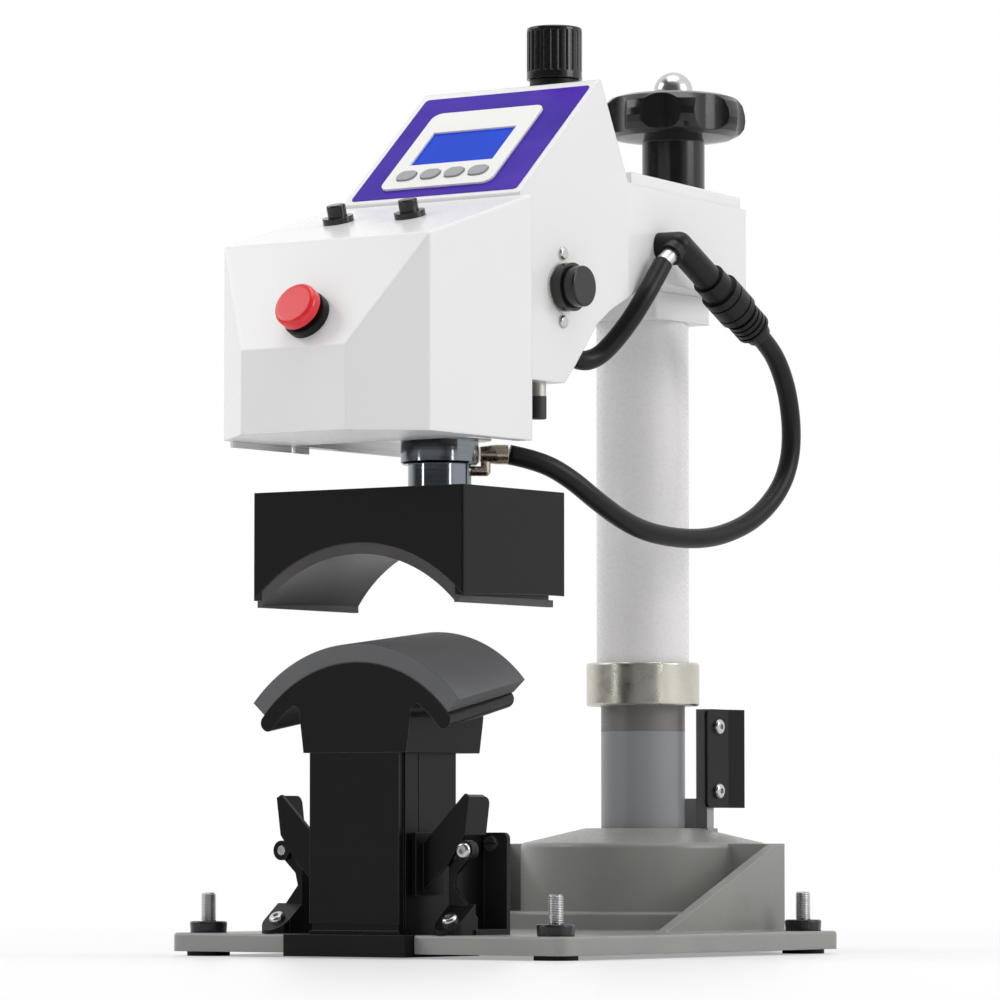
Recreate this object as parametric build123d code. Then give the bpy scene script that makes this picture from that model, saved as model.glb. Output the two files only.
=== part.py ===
from build123d import *
import math
import os

# Machine frame while modelling, mm: X = 0 on the press axis, Y = 0 at the front
# edge of the base plate, Z = 0 on the bench. Every node is shifted on export, so
# that the origin is the middle of the object's footprint.
ORIGIN_X = 7.0
ORIGIN_Y = 177.05

# Clearances
RUN_FIT = 0.05
SLIDE_GAP = 0.35
SEAT = 0.02

# Base casting
BASE_W = 314.0
BASE_D = 325.0
BASE_MID_X = 7.0
BASE_Z0 = 3.0
BASE_Z1 = 15.0
BASE_CORNER_R = 9.0
EDGE_R = 2.0
LOBE_R = 98.0
STEP_R = 96.0
STEP_Z = 27.0
DRUM_R = 84.0
DRUM_Z = 74.0
DRUM_EDGE_R = 4.0
DRUM_LIP_Z = 83.5
DRUM_LIP_R = 40.0
DRUM_BORE_R = 34.0
DRUM_BORE_Z = 60.0
RIB_INSET = 47.0
RIB_T = 8.0
RIB_Y0 = 176.0
RIB_Y1 = 322.0
RIB_TOE = 8.0

# Levelling feet
FOOT_INSET_X = 19.0
FOOT_Y = (18.0, 307.0)
STUD_R = 5.0
STUD_TOP = 41.0
FOOT_PAD_R = 14.0
FOOT_CAP_R = 11.8
FOOT_CAP_TOP_R = 12.3
FOOT_CAP_H = 7.5

# Height of the arm's top, which the column and the handwheel follow
ARM_TOP_Z = 512.0

# Column
COL_Y = 332.0
POST_R = 28.8
SPIGOT_R = 24.0
POST_BORE_R = 19.0
POST_SEAT_Z = 20.0
SHOULDER_Z = 149.5
TUBE_Z0 = 167.0
TUBE_R = 31.8
TUBE_TOP = ARM_TOP_Z - 42.0
SPIGOT_TOP = TUBE_TOP - 25.0
RING_R = 38.7
RING_H = 29.5
BUSH_LEN = 90.0
UPPER_BUSH_Z = SPIGOT_TOP - 45.0
UPPER_BUSH_LEN = 40.0
WASHER_T = 3.0

# Stop bar and stop plate
BAR_X0 = 31.0
BAR_X1 = 40.0
BAR_Y0 = 351.0
BAR_FOOT_Y1 = 359.0
BAR_Y1 = 369.0
BAR_STEP_Z = 97.5
BAR_TOP = 165.0
SPACER_X0 = 8.0
SPACER_Y0 = 366.0
SPACER_Y1 = 373.0
SPACER_TOP = 104.0
STOP_T = 2.5
STOP_Y0 = 348.0
STOP_FOLD_Y = 374.0
STOP_Y1 = 389.0
STOP_FOLD_X = 3.5
STOP_SCREW_Z = (109.0, 153.0)
STOP_SCREW_Y = 361.0
BUTTON_HEAD_R = 5.3
BUTTON_HEAD_H = 3.2

# Arm
ARM_HALF_W = 71.4
ARM_REAR_HALF_W = 46.0
ARM_WALL = 3.0
ARM_Y0 = 45.0
ARM_FRONT_Z = 466.0
ARM_REAR_Y = 392.0
ARM_TAPER_Y = 209.0
ARM_BOTTOM_Z = 449.0
ARM_FLOOR_Z = 373.0
PANEL_Y0 = 83.2
PANEL_Z0 = 494.0
PANEL_Y1 = 176.5
PANEL_Z1 = 577.2
TOP_PLATE_T = 8.5
TOP_PLATE_INSET = 3.0
BLOCK_HALF = 33.6
BLOCK_Z0 = 430.0

# Height adjustment
WHEEL_Y = 371.0
SCREW_R = 6.0
SCREW_Z0 = 456.0
LIFT_BRACKET_T = 12.0
NUT_R = 10.0
HUB_R = 21.8
WHEEL_R = 50.5
HUB_H = 39.0
WHEEL_Z0 = ARM_TOP_Z + TOP_PLATE_T + HUB_H
WHEEL_Z1 = WHEEL_Z0 + 32.0
WHEEL_LOBES = 8
SCOOP_R = 30.0
SCOOP_DEPTH = 6.0
BALL_R = 13.6
BALL_Z = WHEEL_Z1 + 4.0

# Head cover
COVER_WALL = 2.5
COVER_GAP = 8.5
COVER_HALF_W = ARM_HALF_W + COVER_GAP + COVER_WALL
COVER_NOSE_HALF_W = 41.5
COVER_Y0 = -64.3
COVER_Y1 = -29.6
COVER_Y2 = 81.8
COVER_Z0 = 332.0
COVER_Z1 = 386.0
COVER_Z2 = 457.5
COVER_Z3 = 491.5
COVER_FLANGE = 11.0
COVER_EDGE_R = 2.2
COVER_FLOOR_Y = 32.0
LIP_DROP = 4.0
LIPS_Y = ((-24.0, 38.0), (42.0, 57.0))
SKIRT_Y = 176.0
SKIRT_TOP = 395.0
SKIRT_CORNER = 8.0
SKIRT_LIP = 6.0
BOSS_Y = 66.0
BOSS_Z = (392.0, 448.0)
BOSS_R = 6.0

# Air cylinder and press rod
ROD_Y = 94.0
ROD_R = 20.8
GLAND_R = 25.6
GLAND_Z0 = 320.0
CYL_Z0 = 336.0
CYL_Z1 = 460.0
CYL_R = 34.0
CYL_BORE_R = 30.1
CYL_END_T = 8.0
ROD_TOP = 425.0
PISTON_H = 12.0

# Upper platen and heater shoe
PLATEN_HALF_W = 83.8
PLATEN_Y0 = 3.5
PLATEN_Y1 = 117.0
PLATEN_Z0 = 230.0
PLATEN_Z1 = 300.0
SHOE_T = 7.3
SHOE_Z0 = 224.0
SHOE_Y1 = 108.0
SHOE_HALF_W = 77.0
SHOE_LIP_X = 80.5
SHOE_LIP_Z = 225.4

# Arched press surface: half chord, height of its ends, crown heights front and back
ARCH_HALF_W = 82.0
ARCH_END_Z = 163.6
ARCH_Y0 = 2.0
ARCH_Y1 = 89.4
CROWN_Y0 = 200.6
CROWN_Y1 = 210.6
SHOE_RISE = 57.2

# Pad, cradle and post
PAD_T = 12.0
CRADLE_T = 11.0
CRADLE_Y0 = 1.5
CRADLE_Y1 = 87.0
WING_ANGLE = 53.0
STEM_HALF_W = 44.0
STEM_FOOT_HALF_W = 41.0
STEM_Y1 = 81.5
STEM_Z0 = 131.0
STEM_TOP = 168.0
COVE_R = 6.0
PEDESTAL_HALF_W = 35.5
PEDESTAL_Y0 = 1.0
PEDESTAL_Y1 = 63.0
SEAT_HALF_W = 48.0
SEAT_Y0 = -11.0
SEAT_Y1 = 72.0
SEAT_Z0 = 1.0

# Clamp levers
LEVER_Y0 = 20.0
LEVER_Y1 = 43.0
LEVER_T = 3.0
LEVER_TIP_X = 37.9
LEVER_TIP_Y0 = 12.0
LEVER_TIP_TOP = 80.0
LEVER_LOW = 40.0
HANDLE_LOW = (73.6, 78.5)
HANDLE_TOP = (76.8, 102.5)
PIVOT_X = 73.0
PIVOT_Z = 68.5
PIVOT_R = 3.0
PIVOT_BOSS_R = 6.4
BRACKET_X0 = 58.5
EAR_T = 3.5
REAR_EAR_Y = 57.0
REAR_EAR_X = 80.0
REAR_EAR_TOP = 80.0
SLOT_X = 68.3
SLOT_Z = 73.0
TAB_X = 68.7
TAB_Y = 10.5
TAB_R = 10.0
TAB_T = 3.5
TAB_SCREW_Z = 24.5
TAB_SLOPE = 36.0
FOOT_SCREW_LEN = 20.0

# Push buttons on the head cover
START_MID_X = -6.0
START_X = 28.8
START_Y = 30.0
START_RING_R = 10.2
START_CAP_R = 6.3
START_BARREL_R = 7.9
STOP_BTN_X = 5.0
STOP_BTN_W = 22.0
STOP_BTN_R = 15.2
STOP_BTN_H = 7.5
STOP_BTN_GAP = 4.4
STOP_COLLAR_R = 15.8
STOP_COLLAR_H = 5.4
STOP_BARREL_R = 10.9
STOP_STEM_R = 7.0

# Control panel, measured across the panel and up its slope
DISPLAY_X = -3.0
DISPLAY_U = 55.0
BEZEL_W = 90.0
BEZEL_H = 86.0
LCD_W = 67.0
LCD_H = 37.0
LCD_U = 56.6
KEY_PITCH = 19.3
KEY_U = 25.5
KEY_W = 14.6
KEY_H = 10.0
OVERLAY_T = 0.5
BEZEL_T = 1.6

# Regulator knob, side button and silencer
KNOB_X = 20.0
KNOB_Y = 197.0
KNOB_R = 18.5
KNOB_Z0 = 583.0
KNOB_H = 35.0
KNOB_RIBS = 24
KNOB_SEAT_Z = 575.5
SIDE_Y = 132.0
SIDE_Z = 435.5
SIDE_RING_R = 17.0
SIDE_RING_T = 1.5
SIDE_COLLAR_R = 15.9
SIDE_COLLAR_H = 9.0
SIDE_CAP_R = 13.5
SIDE_CAP_FOOT = 7.0
SIDE_CAP_TOP = 18.0
SIDE_BARREL_R = 9.6
SIDE_STEM_R = 6.0
SIDE_SCREW_DZ = 22.4
SIDE_SCREW_R = 1.95

# Silencer
SILENCER_X = 60.0
SILENCER_Y = 120.0
SILENCER_Z0 = 349.0
SILENCER_Z1 = 364.0

# Leads
LEAD_R = 6.6
PLUG_R = 13.8
PLUG_LEN = 66.0
SLEEVE_R = 9.6
SOCKET_LEN = 12.0
ELBOW_REACH = 104.0
STEEL_TUBE_R = 5.6
FITTING_BOSS_Z = 316.2
FITTING_BOSS_R = 3.3
FITTING_STEM_GAP = 4.8
FITTING_BODY_R = 6.5
HEATER_LEAD = [
    (32.8, 126.4, 327.3),
    (47.3, 140.9, 323.5),
    (58.3, 160.0, 312.6),
    (66.2, 180.0, 298.0),
    (69.0, 207.5, 286.0),
    (72.0, 235.0, 279.0),
    (76.4, 275.0, 276.7),
    (80.0, 309.0, 280.6),
    (84.0, 344.0, 293.0),
    (86.7, 370.0, 313.0),
    (88.0, 382.0, 334.0),
    (88.6, 384.0, 356.0),
    (88.4, 379.5, 380.0),
    (87.8, 370.0, 399.0),
    (86.9, 358.0, 412.0),
    (86.0, 346.6, 419.0),
]
SUPPLY_INSIDE = (50.0, 154.0, 409.0)
SUPPLY_OUTSIDE = (50.0, 166.0, 398.6)
SUPPLY_LEAD = [
    SUPPLY_INSIDE,
    SUPPLY_OUTSIDE,
    (51.0, 181.0, 391.0),
    (56.0, 195.0, 394.5),
    (63.0, 204.0, 405.5),
    (71.0, 213.0, 421.0),
    (77.0, 221.0, 437.0),
]
SUPPLY_END = (78.2, 240.0, 460.0)
SUPPLY_RUN = 14.0

# Longer than the object, for outlines that only another outline limits
FAR = 2000.0


# ---------------------------------------------------------------- helpers

def block(x0, x1, y0, y1, z0, z1):
    """Box between two corners."""
    size = Box(x1 - x0, y1 - y0, z1 - z0)
    return Pos((x0 + x1) / 2, (y0 + y1) / 2, (z0 + z1) / 2) * size


def post(x, y, z0, z1, r):
    """Vertical cylinder."""
    return Pos(x, y, (z0 + z1) / 2) * Cylinder(r, z1 - z0)


def tube(x, y, z0, z1, r_out, r_in):
    """Vertical tube."""
    return post(x, y, z0, z1, r_out) - post(x, y, z0 - 1, z1 + 1, r_in)


def pin(p0, p1, r, r_end=None):
    """Round bar, or cone, between two points."""
    axis = Vector(*p1) - Vector(*p0)
    middle = Plane(origin=Vector(*p0) + axis * 0.5, z_dir=axis)
    if r_end is None:
        return middle * Cylinder(r, axis.length)
    return middle * Cone(r, r_end, axis.length)


def prism_xy(points, z0, z1):
    """Polygon in plan, raised from z0 to z1."""
    face = make_face(Polyline(*[(x, y, z0) for x, y in points], close=True))
    return extrude(face, amount=z1 - z0, dir=(0, 0, 1))


def prism_xz(points, y0, y1):
    """Polygon seen from the front, drawn back from y0 to y1."""
    face = make_face(Polyline(*[(x, y0, z) for x, z in points], close=True))
    return extrude(face, amount=y1 - y0, dir=(0, 1, 0))


def prism_yz(points, x0, x1):
    """Polygon seen from the side, drawn across from x0 to x1."""
    face = make_face(Polyline(*[(x0, y, z) for y, z in points], close=True))
    return extrude(face, amount=x1 - x0, dir=(1, 0, 0))


def inset(points, wall):
    """Corners of a polygon with every side moved inwards by a wall thickness."""
    count = len(points)
    turn = sum(
        points[i - 1][0] * points[i][1] - points[i][0] * points[i - 1][1]
        for i in range(count)
    )
    step = math.copysign(wall, turn)
    corners = []
    for i in range(count):
        before = Vector(*points[i - 1])
        here = Vector(*points[i])
        after = Vector(*points[(i + 1) % count])
        d0 = (here - before).normalized()
        d1 = (after - here).normalized()
        p0 = here + Vector(-d0.Y, d0.X) * step
        p1 = here + Vector(-d1.Y, d1.X) * step
        cross = d0.X * d1.Y - d0.Y * d1.X
        gap = p1 - p0
        along = (gap.X * d1.Y - gap.Y * d1.X) / cross
        corner = p0 + d0 * along
        corners.append((corner.X, corner.Y))
    return corners


def mirrored(shape):
    """The same piece on the other side of the press axis."""
    return mirror(shape, about=Plane.YZ)


def both_sides(shape):
    """A piece and its mirror image, as two solids."""
    return [shape, mirrored(shape)]


def save(name, *solids):
    """Write one node, in the object's own frame."""
    shift = Location((-ORIGIN_X, -ORIGIN_Y, 0))
    moved = [s.moved(shift) for s in solids]
    shape = moved[0] if len(moved) == 1 else Compound(children=moved)
    export_step(shape, f"parts/{name}.step")


# ---------------------------------------------------------------- base

def foot_positions():
    """Plan positions of the four levelling feet."""
    reach = BASE_W / 2 - FOOT_INSET_X
    return [(BASE_MID_X + s * reach, y) for s in (-1, 1) for y in FOOT_Y]


def base_casting():
    """Plate with a rear lobe, stepped drum, two side ribs and a rear web."""
    outline = Pos(BASE_MID_X, BASE_D / 2) * RectangleRounded(BASE_W, BASE_D, BASE_CORNER_R)
    outline += Pos(0, COL_Y) * Circle(LOBE_R)
    plate = extrude(Pos(0, 0, BASE_Z0) * outline, amount=BASE_Z1 - BASE_Z0)
    plate = fillet(plate.faces().sort_by(Axis.Z)[-1].outer_wire().edges(), EDGE_R)
    step = post(0, COL_Y, BASE_Z1, STEP_Z, STEP_R)
    step = fillet(step.faces().sort_by(Axis.Z)[-1].edges(), EDGE_R)
    drum = post(0, COL_Y, BASE_Z1, DRUM_Z, DRUM_R)
    drum = fillet(drum.faces().sort_by(Axis.Z)[-1].edges(), DRUM_EDGE_R)
    crown_h = DRUM_LIP_Z - DRUM_Z
    crown = Pos(0, COL_Y, DRUM_Z + crown_h / 2) * Cone(DRUM_R - DRUM_EDGE_R, DRUM_LIP_R, crown_h)
    side = [
        (RIB_Y0, BASE_Z1),
        (RIB_Y0 + RIB_TOE, BASE_Z1 + 2.5),
        (RIB_Y1 - RIB_TOE, DRUM_Z - 1.0),
        (RIB_Y1, DRUM_Z - 1.0),
        (RIB_Y1, BASE_Z1),
    ]
    body = plate + step + drum + crown
    rib_x = BASE_W / 2 - RIB_INSET
    for s in (-1, 1):
        x = BASE_MID_X + s * rib_x
        body += prism_yz(side, x - RIB_T / 2, x + RIB_T / 2)
    web_x0 = BASE_MID_X - rib_x
    web_x1 = BASE_MID_X + rib_x
    body += block(web_x0, web_x1, RIB_Y1 - RIB_T, RIB_Y1, BASE_Z1, DRUM_Z - 1.0)
    body += block(BAR_X0 - 2, BAR_X1 + 2, BAR_Y0 - 2, BAR_FOOT_Y1 + 2, DRUM_Z - 4, DRUM_LIP_Z)
    body += block(SPACER_X0 - 2, BAR_X0 + 2, SPACER_Y0 - 1, SPACER_Y1 + 1, DRUM_Z - 4, DRUM_LIP_Z)
    body -= post(0, COL_Y, DRUM_BORE_Z, DRUM_LIP_Z + 1, DRUM_BORE_R)
    body -= post(0, COL_Y, POST_SEAT_Z, DRUM_LIP_Z, POST_R + SEAT)
    notch = SEAT_HALF_W + SLIDE_GAP
    body -= block(-notch, notch, -5, SEAT_Y1 + SLIDE_GAP, 0, BASE_Z1 + 5)
    for x, y in foot_positions():
        body -= post(x, y, 0, BASE_Z1 + 5, STUD_R + SEAT)
    for hole in both_sides(foot_screw_hole()):
        body -= hole
    return body


def foot_pieces():
    """Rubber pads, studs and caps of the four feet."""
    pads = []
    studs = []
    caps = []
    for x, y in foot_positions():
        pads.append(post(x, y, 0, BASE_Z0, FOOT_PAD_R))
        studs.append(chamfer(
            post(x, y, BASE_Z0, STUD_TOP, STUD_R).faces().sort_by(Axis.Z)[-1].edges(), 0.8
        ))
        cap_mid = BASE_Z1 + FOOT_CAP_H / 2
        cap = Pos(x, y, cap_mid) * Cone(FOOT_CAP_R, FOOT_CAP_TOP_R, FOOT_CAP_H)
        cap = fillet(cap.faces().sort_by(Axis.Z)[-1].edges(), 1.5)
        caps.append(cap - post(x, y, BASE_Z1 - 1, STUD_TOP, STUD_R + SEAT))
    return pads, studs, caps


# ---------------------------------------------------------------- column

def column_post():
    """Fixed lower column: thick foot, thinner spigot, hollow above the seat."""
    body = post(0, COL_Y, POST_SEAT_Z, SHOULDER_Z, POST_R)
    body += post(0, COL_Y, SHOULDER_Z, SPIGOT_TOP, SPIGOT_R)
    return body - post(0, COL_Y, POST_SEAT_Z + 20, SPIGOT_TOP + 1, POST_BORE_R)


def column_bushes():
    """Lower and upper bushes on the spigot."""
    bore = SPIGOT_R + SEAT
    lower = tube(0, COL_Y, SHOULDER_Z, SHOULDER_Z + BUSH_LEN, POST_R, bore)
    upper = tube(0, COL_Y, UPPER_BUSH_Z, UPPER_BUSH_Z + UPPER_BUSH_LEN, POST_R, bore)
    return lower, upper


def thrust_washer():
    """Washer the white tube's top plug turns on."""
    return tube(0, COL_Y, SPIGOT_TOP, SPIGOT_TOP + WASHER_T, POST_R - 1, POST_BORE_R)


def outer_tube():
    """White tube that turns on the bushes."""
    return tube(0, COL_Y, TUBE_Z0, TUBE_TOP, TUBE_R, POST_R + RUN_FIT)


def foot_ring():
    """Zinc ring round the foot of the white tube."""
    ring = post(0, COL_Y, TUBE_Z0, TUBE_Z0 + RING_H, RING_R)
    ring = chamfer(ring.edges(), 1.2)
    return ring - post(0, COL_Y, TUBE_Z0 - 1, TUBE_Z0 + RING_H + 1, TUBE_R + SEAT)


def lift_bracket():
    """Plug in the white tube's top with a tongue that carries the nut."""
    plug = post(0, COL_Y, SPIGOT_TOP + WASHER_T + RUN_FIT, TUBE_TOP, POST_R)
    flange = post(0, COL_Y, TUBE_TOP, TUBE_TOP + LIFT_BRACKET_T, TUBE_R)
    tongue = block(-14, 14, COL_Y, WHEEL_Y + 6, TUBE_TOP, TUBE_TOP + LIFT_BRACKET_T)
    tongue += post(0, WHEEL_Y, TUBE_TOP, TUBE_TOP + LIFT_BRACKET_T, 14)
    return plug + flange + tongue - post(0, WHEEL_Y, TUBE_TOP - 1, TUBE_TOP + 20, NUT_R)


def lift_nut():
    """Bronze nut in the tongue."""
    return tube(0, WHEEL_Y, TUBE_TOP, TUBE_TOP + LIFT_BRACKET_T, NUT_R - SEAT, SCREW_R + RUN_FIT)


def stop_bar():
    """Upright flat bar on the drum, wider above its foot."""
    side = [
        (BAR_Y0, DRUM_LIP_Z),
        (BAR_FOOT_Y1, DRUM_LIP_Z),
        (BAR_FOOT_Y1, BAR_STEP_Z),
        (BAR_Y1, BAR_STEP_Z),
        (BAR_Y1, BAR_TOP),
        (BAR_Y0, BAR_TOP),
    ]
    bar = prism_yz(side, BAR_X0, BAR_X1)
    for z in STOP_SCREW_Z:
        bar -= pin((BAR_X0 - 1, STOP_SCREW_Y, z), (BAR_X1 + 1, STOP_SCREW_Y, z), PIVOT_R)
    return bar


def stop_spacer():
    """Light block beside the bar, standing on the drum behind the column."""
    return block(SPACER_X0, BAR_X0 - SEAT, SPACER_Y0, SPACER_Y1, DRUM_LIP_Z, SPACER_TOP)


def stop_plate():
    """Black plate on the bar, folded a little along its rear half."""
    x0 = BAR_X1
    x1 = BAR_X1 + STOP_T
    plan = [
        (x0, STOP_Y0),
        (x1, STOP_Y0),
        (x1, STOP_FOLD_Y),
        (x1 + STOP_FOLD_X, STOP_Y1),
        (x0 + STOP_FOLD_X, STOP_Y1),
        (x0, STOP_FOLD_Y),
    ]
    plate = prism_xy(plan, BAR_STEP_Z, BAR_TOP)
    corners = plate.edges().filter_by(Axis.X).filter_by_position(Axis.Y, STOP_Y0 - 1, STOP_Y0 + 1)
    plate = fillet(corners, 4.0)
    for z in STOP_SCREW_Z:
        plate -= pin((x0 - 1, STOP_SCREW_Y, z), (x1 + 5, STOP_SCREW_Y, z), PIVOT_R)
    return plate


def button_screw(start, direction, shank):
    """Button-head screw: the head's underside at start, the shank running back."""
    axis = Vector(*direction).normalized()
    seat = Vector(*start)
    head_plane = Plane(origin=seat, z_dir=axis)
    head = head_plane * Pos(0, 0, BUTTON_HEAD_H / 2) * Cylinder(BUTTON_HEAD_R, BUTTON_HEAD_H)
    top = head.faces().sort_by(lambda f: (f.center() - seat).dot(axis))[-1]
    head = fillet(top.edges(), BUTTON_HEAD_H * 0.75)
    head -= head_plane * Pos(0, 0, BUTTON_HEAD_H) * extrude(RegularPolygon(2.0, 6), amount=1.6, both=True)
    body = head_plane * Pos(0, 0, -shank / 2) * Cylinder(PIVOT_R - SEAT, shank)
    return head + body


def stop_screws():
    """Two screws that hold the stop plate."""
    x = BAR_X1 + STOP_T
    return [button_screw((x, STOP_SCREW_Y, z), (1, 0, 0), x - BAR_X0) for z in STOP_SCREW_Z]


# ---------------------------------------------------------------- lower tooling

def crown_at(y):
    """Height of the press surface's crown at a distance from the front."""
    return CROWN_Y0 + (y - ARCH_Y0) * (CROWN_Y1 - CROWN_Y0) / (ARCH_Y1 - ARCH_Y0)


def arch_at(y):
    """Radius and centre height of the press surface at a distance from the front."""
    rise = crown_at(y) - ARCH_END_Z
    radius = (ARCH_HALF_W ** 2 + rise ** 2) / (2 * rise)
    return radius, crown_at(y) - radius


def arch_section(y, out, thick, lift, angle):
    """Arched band at one distance from the front, out from the press surface."""
    radius, centre = arch_at(y)
    r_out = radius + out
    r_in = r_out - thick
    z = centre + lift
    sin = math.sin(math.radians(angle))
    cos = math.cos(math.radians(angle))
    outer = ThreePointArc(
        (-r_out * sin, y, z + r_out * cos), (0, y, z + r_out), (r_out * sin, y, z + r_out * cos)
    )
    inner = ThreePointArc(
        (-r_in * sin, y, z + r_in * cos), (0, y, z + r_in), (r_in * sin, y, z + r_in * cos)
    )
    left = Line(inner @ 0, outer @ 0)
    right = Line(outer @ 1, inner @ 1)
    return make_face([outer, right, inner, left])


def arch_band(y0, y1, out, thick, lift, angle):
    """Arched band that follows the press surface's taper from front to back."""
    sections = [arch_section(y, out, thick, lift, angle) for y in (y0, y1)]
    return loft(sections, ruled=True)


def pad_angle():
    """Half angle of the pad's arch."""
    return math.degrees(math.asin(ARCH_HALF_W / arch_at(ARCH_Y0)[0]))


def silicone_pad():
    """Arched pad."""
    return arch_band(ARCH_Y0, ARCH_Y1, 0, PAD_T, 0, pad_angle())


def cove_section(y):
    """Hollow corner between the right wing's underside and the stem."""
    radius, centre = arch_at(y)
    x1 = STEM_HALF_W + COVE_R
    under = centre + math.sqrt((radius - PAD_T - CRADLE_T) ** 2 - x1 ** 2)
    z0 = under - COVE_R
    bow = COVE_R * (1 - math.sqrt(0.5))
    arc = ThreePointArc((STEM_HALF_W, y, z0), (STEM_HALF_W + bow, y, under - bow), (x1, y, under))
    top = under + 0.4 * CRADLE_T
    rest = Polyline(
        (x1, y, under), (x1, y, top), (STEM_HALF_W - 2, y, top),
        (STEM_HALF_W - 2, y, z0), (STEM_HALF_W, y, z0),
    )
    return make_face([arc, *rest.edges()])


def cradle():
    """Arched support: two wings under the pad and a tapered stem."""
    wings = arch_band(CRADLE_Y0, CRADLE_Y1, -PAD_T - SEAT, CRADLE_T, 0, WING_ANGLE)
    tips = wings.edges().filter_by(
        lambda e: abs(e.center().X) > 60 and abs(e.tangent_at(0.5).Y) > 0.9
    )
    wings = fillet(tips, 5.0)
    filled = arch_band(CRADLE_Y0, STEM_Y1, -PAD_T - SEAT, 45, 0, 35)
    core = filled & block(
        -STEM_HALF_W, STEM_HALF_W, CRADLE_Y0, STEM_Y1, STEM_Z0 + 20, CROWN_Y1 + 5
    )
    stem = prism_xz(
        [
            (-STEM_FOOT_HALF_W, STEM_Z0),
            (STEM_FOOT_HALF_W, STEM_Z0),
            (STEM_HALF_W, STEM_Z0 + 22),
            (STEM_HALF_W, STEM_TOP),
            (-STEM_HALF_W, STEM_TOP),
            (-STEM_HALF_W, STEM_Z0 + 22),
        ],
        CRADLE_Y0,
        STEM_Y1,
    )
    cove = loft([cove_section(CRADLE_Y0), cove_section(STEM_Y1)], ruled=True)
    return wings + core + stem + cove + mirrored(cove)


def pedestal_post():
    """Black post with a groove down each side and a ledge at its front foot."""
    body = block(
        -PEDESTAL_HALF_W, PEDESTAL_HALF_W, PEDESTAL_Y0, PEDESTAL_Y1, BASE_Z1, STEM_Z0
    )
    z0 = BASE_Z1 - 1
    z1 = STEM_Z0 + 1
    x1 = PEDESTAL_HALF_W + 1
    groove = block(PEDESTAL_HALF_W - 1.5, x1, PEDESTAL_Y0 + 1, PEDESTAL_Y0 + 7, z0, z1)
    line = block(PEDESTAL_HALF_W - 0.8, x1, PEDESTAL_Y0 + 20.5, PEDESTAL_Y0 + 21.5, z0, z1)
    ledge = block(-x1, x1, PEDESTAL_Y0 - 1, PEDESTAL_Y0 + 1.5, BASE_Z1 + 2.5, BASE_Z1 + 7)
    body -= groove + line + ledge
    return body - mirrored(groove + line)


def seat_block():
    """Black block let into the front of the base plate."""
    seat = block(-SEAT_HALF_W, SEAT_HALF_W, SEAT_Y0, SEAT_Y1, SEAT_Z0, BASE_Z1)
    return chamfer(seat.edges().filter_by(Axis.Z), 0.8)


def clamp_lever():
    """Right lever: front web, turned-back handle and an upright tip plate."""
    low_x, low_z = HANDLE_LOW
    top_x, top_z = HANDLE_TOP
    web = prism_xz(
        [
            (LEVER_TIP_X, LEVER_LOW),
            (60.0, 60.0),
            (low_x, low_z),
            (top_x, top_z),
            (top_x - 3.5, top_z + 2.0),
            (LEVER_TIP_X, LEVER_LOW + 30.0),
        ],
        LEVER_Y0,
        LEVER_Y0 + LEVER_T,
    )
    web += pin(
        (PIVOT_X, LEVER_Y0, PIVOT_Z), (PIVOT_X, LEVER_Y0 + LEVER_T, PIVOT_Z), PIVOT_BOSS_R
    )
    handle = prism_xz(
        [
            (low_x - LEVER_T, low_z + 0.5),
            (low_x, low_z),
            (top_x, top_z),
            (top_x - LEVER_T, top_z + 1.5),
        ],
        LEVER_Y0,
        LEVER_Y1,
    )
    back = handle.edges().filter_by(Axis.X, tolerance=35)
    back = back.sort_by(lambda e: e.center().Y + e.center().Z)[-1]
    handle = fillet(back, 5.0)
    tip = block(
        LEVER_TIP_X, LEVER_TIP_X + LEVER_T, LEVER_TIP_Y0, LEVER_Y1, LEVER_LOW, LEVER_TIP_TOP
    )
    lever = web + handle + tip
    return lever - pin((PIVOT_X, 0, PIVOT_Z), (PIVOT_X, 99, PIVOT_Z), PIVOT_R + RUN_FIT)


def pivot_screws():
    """Right pivot screw, put in from the front, and the left one, put in from behind."""
    grip = LEVER_T + SLIDE_GAP + EAR_T
    right = button_screw((PIVOT_X, LEVER_Y0 - 0.1, PIVOT_Z), (0, -1, 0), grip + 1)
    left = button_screw((-PIVOT_X, LEVER_Y0 + grip, PIVOT_Z), (0, 1, 0), grip)
    return [right, left]


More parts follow.
